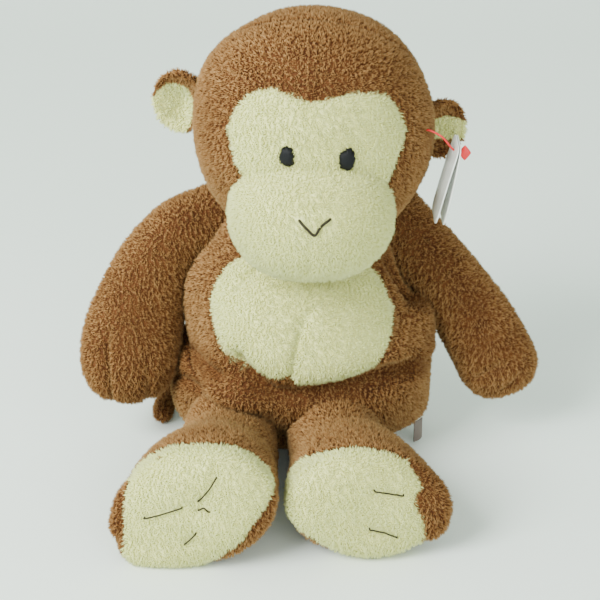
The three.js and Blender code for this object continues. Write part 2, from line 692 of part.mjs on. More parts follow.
makeBody();
makeHead();
makeMuzzle();
EARS.forEach(makeEar);
ARMS.forEach(makeArm);
LEGS.forEach(makeLeg);
add('tail', loft(tail.form).subtract(belowFloor), 'brown');
makeLabel();
makeLeaf('tag_back_leaf', TAG.leans.back, 0);
makeLeaf('tag_front_leaf', TAG.leans.front, TAG.thick + SEAM);
makeTie();

export default toy;
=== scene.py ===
# %% [markdown]
# # A sitting plush monkey
# The toy is a handful of stuffed forms sewn together: a ball head, a pear body on a pellet seat, two arms, two
# legs and a tail. Every form is covered with short curly pile. This lesson makes each form as a surface of two
# parameters, and then grows the pile on it as thousands of small tapered locks.
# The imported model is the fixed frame. It says where the joints are and how large the toy is.

# %% The frame
import itertools
import json
import math

import bpy
import numpy as np
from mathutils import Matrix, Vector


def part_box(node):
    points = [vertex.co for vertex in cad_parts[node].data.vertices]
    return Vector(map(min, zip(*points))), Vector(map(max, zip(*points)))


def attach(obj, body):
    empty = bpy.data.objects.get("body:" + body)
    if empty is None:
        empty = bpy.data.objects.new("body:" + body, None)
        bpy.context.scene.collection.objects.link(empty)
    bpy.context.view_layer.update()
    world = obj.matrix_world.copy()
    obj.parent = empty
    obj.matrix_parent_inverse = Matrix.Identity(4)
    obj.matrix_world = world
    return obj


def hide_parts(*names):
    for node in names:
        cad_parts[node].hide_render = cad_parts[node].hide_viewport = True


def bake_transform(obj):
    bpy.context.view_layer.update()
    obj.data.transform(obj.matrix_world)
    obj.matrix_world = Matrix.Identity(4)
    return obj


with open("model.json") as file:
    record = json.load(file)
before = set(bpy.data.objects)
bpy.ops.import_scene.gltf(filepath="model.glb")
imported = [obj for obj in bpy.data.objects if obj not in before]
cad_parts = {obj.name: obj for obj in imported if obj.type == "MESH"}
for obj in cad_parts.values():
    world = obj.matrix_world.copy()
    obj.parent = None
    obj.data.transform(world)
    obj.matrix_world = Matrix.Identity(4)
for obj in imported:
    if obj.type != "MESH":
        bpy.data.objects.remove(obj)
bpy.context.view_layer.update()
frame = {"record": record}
MM = 0.001
SIDES = ("right", "left")

# %% [markdown]
# ## Forms
# A stuffed limb is a rounded section carried along a curve, with a dome at each end. The dome is what makes the
# ends look filled. All numbers are in millimetres, in the frame's axes: the toy faces -Y and +X is its own left.

# %% A curve through knots
def spline(knots, share):
    """A uniform Catmull-Rom curve: four neighbouring knots blended by cubic weights. Share runs from 0 to 1."""
    knots = np.asarray(knots, float)
    last = len(knots) - 1
    place = np.clip(share, 0, 1) * last
    i = np.minimum(place.astype(int), last - 1)
    w = (place - i)[..., None]
    before = np.where((i > 0)[..., None], knots[np.maximum(i - 1, 0)], 2 * knots[0] - knots[1])
    b = knots[i]
    c = knots[i + 1]
    past_end = 2 * knots[last] - knots[last - 1]
    after = np.where((i + 2 <= last)[..., None], knots[np.minimum(i + 2, last)], past_end)
    bend = (2 * before - 5 * b + 4 * c - after) * w**2 + (3 * b - before - 3 * c + after) * w**3
    return 0.5 * (2 * b + (c - before) * w + bend)


def unit(vectors):
    """Each vector divided by its length."""
    return vectors / np.maximum(np.linalg.norm(vectors, axis=-1, keepdims=True), 1e-9)


def power(value, square):
    """A cosine or sine bent so that a section is an ellipse at 2 and squarer above it."""
    return np.sign(value) * np.abs(value) ** (2 / square)


def stack(*parts):
    """Arrays as the coordinates of points: they go side by side along a new last axis."""
    return np.stack(parts, axis=-1)


def circle(count):
    """Even angles of a full turn."""
    return 2 * np.pi * np.arange(count) / count


print("a quarter along three knots:", spline([[0, 0], [1, 2], [2, 0]], np.array([0.25]))[0])

# %% A stuffed form
PATH_STEPS = 400
NUDGE = 2e-3          # the path's direction is measured over this share of it
TIP_POWER = 6         # growth goes along the path only close to its two ends


def make_form(path, sizes, caps, side, square=2.0):
    """A form as a dictionary: knots of its path, half width, half depth and roll there, and its two dome
    lengths. Shaping fills up later with functions that take points and give how far each moves outward."""
    path = np.asarray(path, float)
    shares = np.linspace(0, 1, PATH_STEPS + 1)
    fine = spline(path, shares)
    lengths = np.concatenate([[0], np.cumsum(np.linalg.norm(np.diff(fine, axis=0), axis=1))])
    return dict(path=path, sizes=np.asarray(sizes, float), caps=caps, side=np.asarray(side, float),
                square=square, shares=shares, lengths=lengths, shaping=[])


def plain_surface(form, v, theta, grow):
    """The section at path length (1 - cos(pi v)) / 2, turned by theta, times the dome of a quarter ellipse."""
    lengths = form["lengths"]
    total = lengths[-1]
    distance = total * (1 - np.cos(np.pi * np.clip(v, 0, 1))) / 2
    share = np.interp(distance, lengths, form["shares"])
    centre = spline(form["path"], share)
    ahead = unit(spline(form["path"], share + NUDGE) - spline(form["path"], share - NUDGE))
    across = unit(form["side"] - ahead * (ahead @ form["side"])[..., None])
    upward = np.cross(ahead, across)
    size = spline(form["sizes"], share)
    near = np.clip(1 - distance / form["caps"][0], 0, 1)
    far = np.clip(1 - (total - distance) / form["caps"][1], 0, 1)
    dome = np.sqrt((1 - near**2) * (1 - far**2))
    roll = np.radians(size[..., 2])
    x = (size[..., 0] + grow) * dome * power(np.cos(theta), form["square"])
    y = (size[..., 1] + grow) * dome * power(np.sin(theta), form["square"])
    out = across * (x * np.cos(roll) - y * np.sin(roll))[..., None]
    out = out + upward * (x * np.sin(roll) + y * np.cos(roll))[..., None]
    push = np.where(near > far, -near**TIP_POWER, far**TIP_POWER)
    round_it = across * np.cos(theta + roll)[..., None] + upward * np.sin(theta + roll)[..., None]
    away = unit(round_it * (dome / np.maximum(size[..., 0], 1))[..., None]
                + ahead * (far / form["caps"][1] - near / form["caps"][0])[..., None])
    return centre + out + ahead * (push * grow)[..., None], away


ball = make_form([[0, 0, -1], [0, 0, 0], [0, 0, 1]], [[1, 1, 0]] * 3, [1, 1], [1, 0, 0])
print("the side of a ball:", plain_surface(ball, np.array([0.5]), np.zeros(1), 0)[0].round(2))

# %% The surface with its dents
def surface(form, v, theta, grow):
    """The plain form, then each shaping function moves its points straight out of it."""
    points, away = plain_surface(form, v, theta, grow)
    for shape in form["shaping"]:
        points = points + away * shape(points)[..., None]
    return points


def surface_normal(form, v, theta, grow):
    """The cross product of the two directions along the surface, turned to point out of the form."""
    step = 1e-3
    here = surface(form, v, theta, grow)
    further, nearer = np.minimum(v + step, 1), np.maximum(v - step, 0)
    along = surface(form, further, theta, grow) - surface(form, nearer, theta, grow)
    around = surface(form, v, theta + step, grow) - surface(form, v, theta - step, grow)
    normal = unit(np.cross(around, along))
    away = plain_surface(form, v, theta, grow)[1]
    flip = np.sign(np.sum(normal * away, axis=-1, keepdims=True))
    return here, normal * np.where(flip == 0, 1, flip)


print("the way out of its side:", surface_normal(ball, np.array([0.5]), np.zeros(1), 0)[1].round(2))

# %% [markdown]
# ## Dents and noise
# Real stuffed cloth has creases where it is sewn tight or folded. A crease here is a groove that follows a line
# of points, deepest on the line. Random but smooth variation comes from noise on a lattice.

# %% Creases and bulges
BELL_REACH = 3        # a bell curve is as good as gone at three of its widths


def bell(distance, width):
    """A bell curve: one at no distance, and a third at one width."""
    return np.exp(-(distance / width) ** 2)


def near_line(points, line):
    """The distance from each point to a line of points, taken stretch by stretch."""
    line = np.asarray(line, float)
    best = np.full(points.shape[:-1], 1e9)
    for a, b in zip(line[:-1], line[1:]):
        along = np.clip(((points - a) @ (b - a)) / np.dot(b - a, b - a), 0, 1)
        best = np.minimum(best, np.linalg.norm(points - a - along[..., None] * (b - a), axis=-1))
    return best


def crease(line, width, depth):
    """A shaping function: a groove along a line, falling away as a bell curve. Far points are left out."""
    line = np.asarray(line, float)
    low, high = line.min(axis=0) - BELL_REACH * width, line.max(axis=0) + BELL_REACH * width

    def shape(points):
        near = np.all((points > low) & (points < high), axis=-1)
        moved = np.zeros(points.shape[:-1])
        moved[near] = -depth * bell(near_line(points[near], line), width)
        return moved
    return shape


def bulge(centre, radii, height):
    """A shaping function: a soft swelling round a point, with its own reach along each axis."""
    def shape(points):
        far = np.sum(((points - np.asarray(centre)) / np.asarray(radii)) ** 2, axis=-1)
        return height * np.exp(-far)
    return shape


print("a crease on its line and beside it:", crease([[0, 0, 0], [9, 0, 0]], 1, 2)(np.eye(3)).round(2))

# %% Noise
NOISE_CELLS = 32


def noise(points, size, seed):
    """Smooth random numbers from -1 to 1: values at the corners of cells, blended inside each cell."""
    table = np.random.default_rng(seed).uniform(-1, 1, (NOISE_CELLS,) * 3)
    place = points / size
    cell = np.floor(place).astype(int)
    w = place - cell
    w = w * w * (3 - 2 * w)
    total = np.zeros(points.shape[:-1])
    for corner in itertools.product((0, 1), repeat=3):
        share = np.prod(np.where(np.array(corner) == 1, w, 1 - w), axis=-1)
        at = (cell + np.array(corner)) % NOISE_CELLS
        total += share * table[at[..., 0], at[..., 1], at[..., 2]]
    return total


def lumps(size, height, seed):
    """A shaping function: the uneven filling under the cloth."""
    return lambda points: height * noise(points, size, seed)


print("noise at three places:", noise(np.array([[1.0, 2, 3], [4, 5, 6], [7, 8, 9]]), 5, 1).round(2))

# %% [markdown]
# ## The sizes of this toy
# The head's centre and size come from the frame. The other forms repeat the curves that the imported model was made
# from, so each visible piece fills the space that its solid holds.

# %% Driving sizes
joints = {joint["name"]: joint for joint in frame["record"]["behaviour"]["joints"]}
HEAD_CENTRE = np.array(joints["neck_nod"]["pos_m"]) / MM
HEAD_RADIUS = np.array(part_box("head_skin"))[1, 2] / MM - HEAD_CENTRE[2]
PILE = 2.0            # the cloth lies this far under the outside of the pile
print("head radius", round(HEAD_RADIUS, 1), "mm, centre", HEAD_CENTRE.round(1))

# %% The forms
def limb_form(pivot, radius, path, sizes, cap, side):
    """A limb whose root is a ball round its pivot: the path starts one radius behind it."""
    pivot = np.asarray(pivot, float)
    back = pivot + unit(pivot - np.asarray(path[0], float)) * radius
    root = [radius, radius, 0]
    sizes = [root, root] + [list(size) + [0] * (3 - len(size)) for size in sizes]
    return make_form([back, pivot, *path], sizes, [radius, cap], side)


HEAD = make_form(
    [HEAD_CENTRE + [0, 0, end * HEAD_RADIUS] for end in (-1, 0, 1)],
    [[HEAD_RADIUS, HEAD_RADIUS, 0]] * 3, [HEAD_RADIUS, HEAD_RADIUS], [1, 0, 0])
HEAD_FRONT = HEAD_CENTRE - [0, HEAD_RADIUS, 0]
MUZZLE = make_form(
    [HEAD_FRONT + [-1.2, 37.5, -26.5], HEAD_FRONT + [-1.8, 11.5, -27.1], HEAD_FRONT + [-3, -15, -31.5]],
    [[36, 30.5, 4], [38, 32, 4], [35, 28, 4]], [8, 33], [1, 0, 0], square=2.2)
BODY = make_form(
    [[0, 5, -4], [0, 3, 22], [3.5, -5, 50], [0.5, -8, 75], [2, -3, 102], [4, 4, 130]],
    [[53, 33, 0], [64.5, 37, 0], [59.5, 51, 0], [50.5, 49, 0], [42, 29.5, 0], [30, 22, 0]],
    [20, 18], [1, 0, 0], square=2.3)
ARM_RADIUS = 17
ARMS = {
    "right": limb_form(
        [-40, 14, 111], ARM_RADIUS,
        [[-59.5, 9, 102.5], [-75.5, 2, 80], [-83.8, -8.5, 52], [-82.4, -17.5, 25]],
        [[17.5, 17], [20.5, 17.5], [23.6, 17], [23.2, 14]], 22, [0.75, 0, -0.65]),
    "left": limb_form(
        [44.6, 14.6, 110.6], ARM_RADIUS, [[57, 10, 96.5], [76.3, 4, 75], [91.5, -2, 51], [104, -7, 24]],
        [[17.5, 17], [18.3, 17], [20.5, 16.5], [20, 13.5]], 20, [-0.75, 0, -0.65]),
}
LEG_RADIUS = 22.5
LEGS = {
    "right": limb_form(
        [-33.4, -40, 22], LEG_RADIUS, [[-35, -68, 22.5], [-42, -98, 26.8], [-48.1, -129, 29.3]],
        [[25, 22.5, 0], [34.5, 27.6, 18], [41, 29.2, 24]], 13, [1, 0, 0]),
    "left": limb_form(
        [16.2, -40, 22], LEG_RADIUS, [[19, -66, 22.5], [26.5, -95, 25.6], [30.4, -123.5, 27.3]],
        [[25, 22.5, 0], [33, 26.2, -6], [38.5, 27.3, -8]], 13, [1, 0, 0]),
}
TAIL_RADIUS = 6
TAIL = limb_form(
    [0, 40, 6.4], TAIL_RADIUS, [[-24, 52, 6], [-52, 46, 5.8], [-67, 26, 5.6], [-70, 4, 5.5]],
    [[TAIL_RADIUS, TAIL_RADIUS]] * 4, TAIL_RADIUS, [0, 0, 1])
print("length of the tail's path:", TAIL["lengths"][-1].round(1), "mm")

# %% [markdown]
# ## From arrays to meshes
# A surface of two parameters is a grid of points. The first and last rows meet in one point each, the poles, so
# the mesh is closed.

# %% Mesh makers
def add_object(name, data):
    """An object in the scene for a mesh, a lamp or a camera."""
    thing = bpy.data.objects.new(name, data)
    bpy.context.scene.collection.objects.link(thing)
    return thing


def volume_of(points, faces):
    """The signed volume of a closed mesh: a sum over its faces, cut into triangles. Inside out it is negative."""
    total = 0.0
    for corners in (3, 4):
        chosen = np.array([face for face in faces if len(face) == corners])
        for k in range(1, corners - 1) if len(chosen) else ():
            a, b, c = points[chosen[:, 0]], points[chosen[:, k]], points[chosen[:, k + 1]]
            total += np.sum(a * np.cross(b, c)) / 6
    return total


def new_mesh(name, points, faces, closed=True):
    """A mesh object from points in millimetres and faces. A closed one gets its faces turned outward."""
    mesh = bpy.data.meshes.new(name)
    faces = faces if isinstance(faces, list) else faces.tolist()
    points = np.asarray(points, float)
    if closed and volume_of(points, faces) < 0:
        faces = [face[::-1] for face in faces]
    mesh.from_pydata((points * MM).tolist(), [], faces)
    mesh.polygons.foreach_set("use_smooth", [True] * len(mesh.polygons))
    mesh.update()
    return add_object(name, mesh)


def rings(count, around):
    """Faces for one point, a count of rings of points, then one point. Point numbers run ring by ring."""
    k = np.arange(around)
    on = (k + 1) % around
    last = 1 + count * around
    start = stack(0 * k, 1 + on, 1 + k)
    end = stack(0 * k + last, last - around + k, last - around + on)
    ring = 1 + np.arange(count - 1)[:, None] * around
    quads = stack(ring + k, ring + on, ring + around + on, ring + around + k).reshape(-1, 4)
    return start.tolist() + end.tolist() + quads.tolist()


def grid_quads(rows, columns):
    """The faces of a grid of points that are counted row by row."""
    i, j = np.meshgrid(np.arange(rows - 1), np.arange(columns - 1), indexing="ij")
    a = (i * columns + j).ravel()
    return stack(a, a + columns, a + columns + 1, a + 1)


print("a form of 10 rows of 12 points has", len(rings(9, 12)), "faces")

# %% Cloth over a form
FLOOR_GAP = 0.15      # what rests on the floor stays this far above it


def mark_panel(thing, cream):
    """Writes on each point of a mesh whether it is cream."""
    mark = thing.data.attributes.new("panel", "FLOAT", "POINT")
    mark.data.foreach_set("value", cream.astype(np.float32))


def cover(name, form, rows, around, panel=None):
    """The cloth of a form: its surface on a grid of rows and points around. Panel tests for cream points."""
    v = np.linspace(0, 1, rows + 1)[1:-1]
    theta = circle(around)
    grid = surface(form, v[:, None] + 0 * theta, theta[None] + 0 * v[:, None], -PILE).reshape(-1, 3)
    poles = surface(form, np.array([0.0, 1.0]), np.zeros(2), -PILE)
    points = np.concatenate([poles[:1], grid, poles[1:]])
    points[:, 2] = np.maximum(points[:, 2], FLOOR_GAP)
    thing = new_mesh(name, points, rings(rows - 1, around))
    if panel is not None:
        mark_panel(thing, panel(points))
    return thing


def replace_with(thing, body, *nodes, material=None, fill=None):
    """Puts a finished piece in the place of solids of the frame, on their body."""
    if material is not None:
        thing.data.materials.append(material)
    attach(thing, body)
    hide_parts(*nodes)
    return thing


print("gap over the floor:", FLOOR_GAP, "mm")

# %% [markdown]
# ## Outlines
# The cream panels are let into the brown cloth. Each is an outline seen from the front, so a point of a form
# belongs to the panel when its x and z lie inside the outline and it faces forward. Stuffing and gathers pull
# the outlines out of true: the mask's lobes differ, the patch has a notch where its gather ends, and toes dent
# the soles.

# %% Tests and grooves of a panel
def closed_curve(knots, count=100):
    """A closed Catmull-Rom curve through knots of x and z, in even steps of its parameter."""
    knots = np.asarray(knots, float)
    wrapped = np.concatenate([knots[-2:], knots, knots[:3]])
    share = (2 + len(knots) * np.arange(count) / count) / (len(wrapped) - 1)
    return spline(wrapped, share)


def inside_outline(points, outline):
    """Whether x and z lie inside a closed outline: count its edges that pass to the right of the point."""
    x, z = points[..., 0], points[..., 2]
    hits = np.zeros(x.shape, int)
    for a, b in zip(outline, np.roll(outline, -1, axis=0)):
        spans = (a[1] > z) != (b[1] > z)
        rise = b[1] - a[1] if b[1] != a[1] else 1e-9
        hits += spans & (x < a[0] + (z - a[1]) * (b[0] - a[0]) / rise)
    return hits % 2 == 1


def seam_groove(outline, front, width=1.5, depth=0.9):
    """A shaping function: the cloth is drawn in along a panel's outline, on the side where front is true."""
    low, high = outline.min(axis=0) - BELL_REACH * width, outline.max(axis=0) + BELL_REACH * width
    ring = np.concatenate([outline, outline[:1]])

    def shape(points):
        flat = points[..., [0, 2]]
        near = front(points) & np.all((flat > low) & (flat < high), axis=-1)
        moved = np.zeros(points.shape[:-1])
        moved[near] = -depth * bell(near_line(flat[near], ring), width)
        return moved
    return shape


def in_front(places, limits):
    """A test of points: whether they lie in front of a y that changes across x as the limits say."""
    return lambda points: points[..., 1] < np.interp(points[..., 0], places, limits)


def panel_of(outline, front):
    """A test of points: whether they lie inside the outline, on the side where front is true."""
    return lambda points: inside_outline(points, outline) & front(points)


square = np.array([[0, 0], [1, 0], [1, 1], [0, 1]])
print("inside a square, and beside it:", inside_outline(np.array([[0.5, 0, 0.5], [2, 0, 0.5]]), square))

# %% Outlines of the panels
MASK = closed_curve([
    [-25.2, 160.3], [-28, 165.1], [-29.9, 172.8], [-30.8, 178.9], [-28.2, 185.5], [-24.2, 191.6], [-18.5, 195.5],
    [-11.7, 197.2], [-5.3, 196], [0.2, 194.3], [6.5, 193.7], [13.3, 194.6], [20.6, 195.7], [29.1, 195.2],
    [36.3, 193.1], [40.7, 188.7], [44.3, 182.3], [45.8, 175.5], [43.6, 168.6], [40.9, 161.3], [38.2, 155.1],
    [30, 143], [6.5, 139], [-17, 143], [-23, 153]])
PATCH = closed_curve([
    [-37.4, 95.9], [-34, 100.9], [-28.8, 104.7], [-17, 111], [2, 115], [21, 110], [32.5, 101], [37, 95.7],
    [40.4, 89.5], [42.5, 83.5], [43, 78.1], [41.4, 72.4], [38.4, 67.5], [34.8, 62.4], [29.6, 60], [20.5, 57.3],
    [9.1, 55.4], [1.1, 55.2], [-2.9, 57.2], [-5.1, 60.6], [-12.3, 59], [-18.2, 59.7], [-26.5, 62], [-34, 66.2],
    [-38, 72.1], [-40.4, 79.1], [-41.2, 86.6]])
SOLES = {
    "right": closed_curve([
        [-43.2, 56.7], [-50.9, 54.4], [-56.9, 51.6], [-61.6, 48.8], [-67, 45.8], [-71.5, 42.4], [-74.3, 37],
        [-75.9, 32.2], [-76.5, 25.9], [-76.5, 18.8], [-77, 10.5], [-77.5, 5], [-70, -2], [-58, -4], [-46, -1],
        [-37, 5.5], [-32, 11.1], [-24.9, 17.6], [-21.4, 24.9], [-16.9, 31.1], [-13.4, 36.8], [-11.2, 40.4],
        [-12, 44.5], [-16.4, 48.8], [-21.6, 52.6], [-29.3, 55.9], [-38.2, 57]]),
    "left": closed_curve([
        [-5.3, 33.4], [-2.4, 39.5], [2.6, 44.3], [10.5, 49.1], [19.1, 51.8], [28.1, 52.3], [35.3, 51.6],
        [40.6, 50], [44.9, 47.6], [48.3, 43.5], [52, 38.6], [52.2, 35], [49.8, 32], [51.2, 26.4], [53.9, 20.6],
        [54.4, 12.3], [52.5, 6.5], [44.2, 1], [33.1, -1.5], [24.2, -1.5], [18, 2], [11.4, 8.5], [1.6, 15.5],
        [-4, 20.9], [-5.7, 27]]),
}
print("outlines of", len(MASK), "points each")

# %% Panels on the forms
FRONT = {
    "head": in_front([0], [HEAD_CENTRE[1] - 10]),
    "body": in_front([34, 40], [-8, -27]),                      # the pocket by the left arm stays brown
    "leg_right": in_front([-80, -60, -42, -10], [-100, -103, -112, -112]),
    "leg_left": in_front([-10, 3, 12, 45, 60], [-95, -100, -107, -109, -100]),
}
OUTLINES = {"head": MASK, "body": PATCH, "leg_right": SOLES["right"], "leg_left": SOLES["left"]}
PANELS = {name: panel_of(outline, FRONT[name]) for name, outline in OUTLINES.items()}
HEAD["shaping"] += [seam_groove(MASK, FRONT["head"]), lumps(26, 0.7, 11)]
BODY["shaping"] += [seam_groove(PATCH, FRONT["body"]), lumps(24, 1.0, 12)]
MUZZLE["shaping"] += [lumps(22, 0.5, 13)]
for number, side in enumerate(SIDES):
    LEGS[side]["shaping"] += [seam_groove(SOLES[side], FRONT["leg_" + side]), lumps(22, 0.8, 14 + number)]
    ARMS[side]["shaping"] += [lumps(20, 0.9, 16 + number)]
print("panels:", ", ".join(PANELS))

# %% [markdown]
# ## Folds
# The loosely filled body slumps: the belly hangs over the legs, a gather pulls it in at the middle, and the slack
# cloth at its sides falls into folds. Thread drawn through the paws makes the fingers.

# %% Folds of the body
BODY["shaping"] += [
    crease([[3, -51, 88], [1.4, -52.1, 85.6], [-1.2, -55.2, 78.4], [-3, -57.3, 68.1], [-4.9, -57.4, 56.6]],
           2.3, 3.4),
    bulge([-19, -53.5, 69], [15, 12, 14], 2.2),
    bulge([16, -55.4, 67], [18, 12, 15], 2.6),
    crease([[-29, -50, 64], [-22, -53.6, 57], [-13, -55.4, 49.2], [-4, -56.2, 47.7], [9, -56.8, 50],
            [23, -55.2, 53], [41.5, -46.4, 56], [50, -35, 54.5]], 5.0, 9.0),
    crease([[-10, -57, 47], [9, -57, 48], [23, -56, 51], [40, -47, 54.5]], 5, 7.0),
    crease([[50, -35, 54.5], [62, -11, 47]], 4, 3.5),
    bulge([12, -54, 45], [30, 14, 8], -3.5),
    crease([[-16.6, -30.9, 106.2], [-24.1, -35.1, 100.3], [-30.8, -37.2, 94.1]], 3, 2.2),
    crease([[-23.2, -53.3, 58.3], [-17.5, -54.9, 53.3], [-11.7, -54.8, 45.4]], 2.2, 2.5),
    crease([[-56.8, -0.6, 51], [-47.6, -26.8, 54.5], [-36.6, -44.3, 53.9]], 3.2, 3.0),
    bulge([-32, -50, 45.5], [26, 14, 7], 7.5),
    crease([[-62, -8, 36], [-55.8, -20.2, 40.2], [-47, -34, 41]], 3.0, 3.5),
    crease([[34.3, -25.9, 99.9], [43.6, -25.6, 85.4], [46.9, -29.2, 76.6], [42.7, -42.7, 69.2]], 2.2, 1.8),
    bulge([54.3, -16.9, 71.8], [7, 10, 9], 2.5),
    crease([[42, -14, 98], [47, -12, 88], [51, -11, 78]], 4.5, 6.5),
    bulge([55, -3, 66], [12, 18, 22], 6.5),
    bulge([50, 6, 90], [14, 20, 24], 2.4),
    crease([[39, -47.4, 63.9], [51.9, -34.4, 60.4], [61, -12, 52]], 4, -2.0),
    bulge([-48, 2, 82], [14, 18, 28], 10.0),
]
print("shapes in the body's cloth:", len(BODY["shaping"]))

# %% Seams and dents of the head and the limbs
HEAD["shaping"] += [
    crease([[-46, -9, 186], [-40, -8, 196], [-26.7, -11.9, 209.5], [-14.9, -18.6, 216], [-3.6, -22.1, 218.8],
            [13, -23.2, 219.1], [26.3, -23.3, 216], [39.6, -20.7, 209.1], [50, -14, 198], [58, -11, 184]],
           1.3, 1.1),
    crease([[9.5, -38, 213.5], [9.2, -46.3, 210.1], [9, -53.9, 203.4], [7.9, -58.6, 197.5]], 1.2, 0.6),
    bulge([6.5, -14, 222], [34, 34, 10], -1.0),
    bulge([-40, -10, 193], [18, 40, 18], 2.6),
]
MUZZLE["shaping"] += [crease([[4.3, -83.5, 138.1], [3.7, -82.5, 131.1], [3.9, -77.3, 122.2]], 1.5, 0.8)]
ARMS["right"]["shaping"] += [
    bulge([-68, -8, 48], [9, 22, 18], 3.5),
    bulge([-62, -2, 68], [10, 20, 18], 2.5),
    crease([[-90.9, -21.2, 64], [-91.6, -25.3, 51.6], [-90.9, -25.8, 35.8], [-91, -17, 24]], 1.8, 2.4),
    crease([[-73.6, -22.3, 48.1], [-73.7, -21.9, 37.5], [-74.3, -19, 29], [-75, -14, 25]], 1.8, 2.4),
]
ARMS["left"]["shaping"] += [
    crease([[85.3, -15, 37.7], [90.3, -17.3, 42.2], [96.1, -17.8, 46.4]], 1.8, 2.2),
    crease([[97.7, -15.1, 30.2], [101.9, -16.4, 35.1], [106.7, -15.8, 40.2]], 1.7, 1.8),
]
LEGS["right"]["shaping"] += [
    crease([[-58, -50, 40], [-35, -51, 44], [-12, -50, 40]], 8, 2),
    bulge([-83, -118, 27], [6, 9, 6], 1.5),
    bulge([-82, -118, 16], [7, 10, 7], 4.0),
    bulge([-75, -120, 5], [11, 12, 8], 5.5),
    bulge([-62, -126, 3], [16, 10, 8], 3.0),
]
LEGS["left"]["shaping"] += [
    bulge([-6, -100, 25], [8, 22, 20], 2.0),
    bulge([40, -122, 3], [22, 12, 8], 2.5),
    crease([[4.4, -103.3, 45.2], [8, -98.1, 46.8], [10.3, -88.1, 46.2]], 1.7, 1.6),
    bulge([64, -112, 32], [6, 9, 6], 1.5),
    bulge([65, -112, 22], [7, 10, 7], 3.0),
    bulge([62, -112, 11], [8, 11, 7], 4.5),
]
print("shapes in a leg's cloth:", len(LEGS["left"]["shaping"]))

# %% [markdown]
# ## Finishes
# Plush is dyed through, but light seldom reaches its roots, so a lock is dark and reddish below and pale at its
# tip. Each lock carries two numbers in its UV map: across is its own tone and up is the height on the lock.

# %% Colours and shader nodes
DULL, GLOSSY = 0.1, 0.5           # specular levels


def colour(red, green, blue):
    """A colour as a screen shows it, from 0 to 255, made linear for the shader."""
    linear = [((c / 255 + 0.055) / 1.055) ** 2.4 if c > 10 else c / 255 / 12.92 for c in (red, green, blue)]
    return (*linear, 1.0)


def new_material(name, roughness, sheen=0.0, specular=GLOSSY, base=None):
    """A material with its shader, and its node tree to build on."""
    material = bpy.data.materials.new(name)
    material.use_nodes = True
    nodes, links = material.node_tree.nodes, material.node_tree.links
    shader = nodes["Principled BSDF"]
    shader.inputs["Roughness"].default_value = roughness
    shader.inputs["Sheen Weight"].default_value = sheen
    shader.inputs["Sheen Tint"].default_value = colour(236, 206, 160)
    shader.inputs["Specular IOR Level"].default_value = specular
    if base is not None:
        shader.inputs["Base Color"].default_value = colour(*base)
    return material, nodes, links, shader


def add_node(nodes, kind, **values):
    """A shader node with the given values in its sockets."""
    node = nodes.new("ShaderNode" + kind)
    for socket, value in values.items():
        node.inputs[socket].default_value = value
    return node


def ramp(nodes, stops):
    """A colour ramp node from pairs of place and colour."""
    node = nodes.new("ShaderNodeValToRGB")
    elements = node.color_ramp.elements
    elements[0].position, elements[0].color = stops[0]
    elements[1].position, elements[1].color = stops[-1]
    for place, shade in stops[1:-1]:
        elements.new(place).color = shade
    return node


def mix_colours(nodes, links, first, second, kind="MIX"):
    """A node that mixes two colours. How much of the second is in its first socket."""
    node = nodes.new("ShaderNodeMix")
    node.data_type = "RGBA"
    node.blend_type = kind
    links.new(first, node.inputs[6])
    links.new(second, node.inputs[7])
    return node


def add_relief(nodes, links, shader, height, strength, distance):
    """A bump from a texture's height, for what is too fine to model."""
    relief = add_node(nodes, "Bump", Strength=strength, Distance=distance)
    links.new(height, relief.inputs["Height"])
    links.new(relief.outputs["Normal"], shader.inputs["Normal"])


print("a screen's middle grey is", round(colour(128, 128, 128)[0], 3), "in the shader")

# %% Pile
PILE_MAP = "OFBake"


def pile_material(name, root, middle, tip, dark, pale, roughness, sheen):
    """Height on the lock picks root, middle or tip, and the lock's tone scales it from dark to pale."""
    material, nodes, links, shader = new_material(name, roughness, sheen, DULL)
    place = nodes.new("ShaderNodeUVMap")
    place.uv_map = PILE_MAP
    split = nodes.new("ShaderNodeSeparateXYZ")
    links.new(place.outputs["UV"], split.inputs[0])
    height = ramp(nodes, [(0.0, colour(*root)), (0.45, colour(*middle)), (1.0, colour(*tip))])
    links.new(split.outputs["Y"], height.inputs["Fac"])
    tone = ramp(nodes, [(0.0, colour(*dark)), (1.0, colour(*pale))])
    links.new(split.outputs["X"], tone.inputs["Fac"])
    shade = mix_colours(nodes, links, height.outputs["Color"], tone.outputs["Color"], "MULTIPLY")
    shade.inputs[0].default_value = 1.0
    links.new(shade.outputs[2], shader.inputs["Base Color"])
    return material


BROWN_PILE = pile_material(
    "brown pile", (84, 46, 24), (152, 106, 60), (208, 168, 112), (158, 134, 116), (255, 254, 252), 0.8, 0.08)
CREAM_PILE = pile_material(
    "cream pile", (214, 212, 142), (238, 241, 168), (248, 251, 188), (228, 228, 208), (255, 255, 255), 0.85, 0.05)
print("pile:", BROWN_PILE.name, "and", CREAM_PILE.name)

# %% Cloth
MOTTLE_ENDS = (0.3, 0.7)          # where on the noise a cloth's two shades lie
# Painted shade: both cloths are darker than the tips of their locks, for the shade under the pile.
BROWN_SHADES = (70, 38, 20), (104, 64, 36)
CREAM_SHADES = (204, 202, 134), (224, 224, 158)


def mottle_ramp(nodes, dark, pale):
    """The ramp of a mottled cloth, from its dark shade to its pale one."""
    return ramp(nodes, list(zip(MOTTLE_ENDS, (colour(*dark), colour(*pale)))))


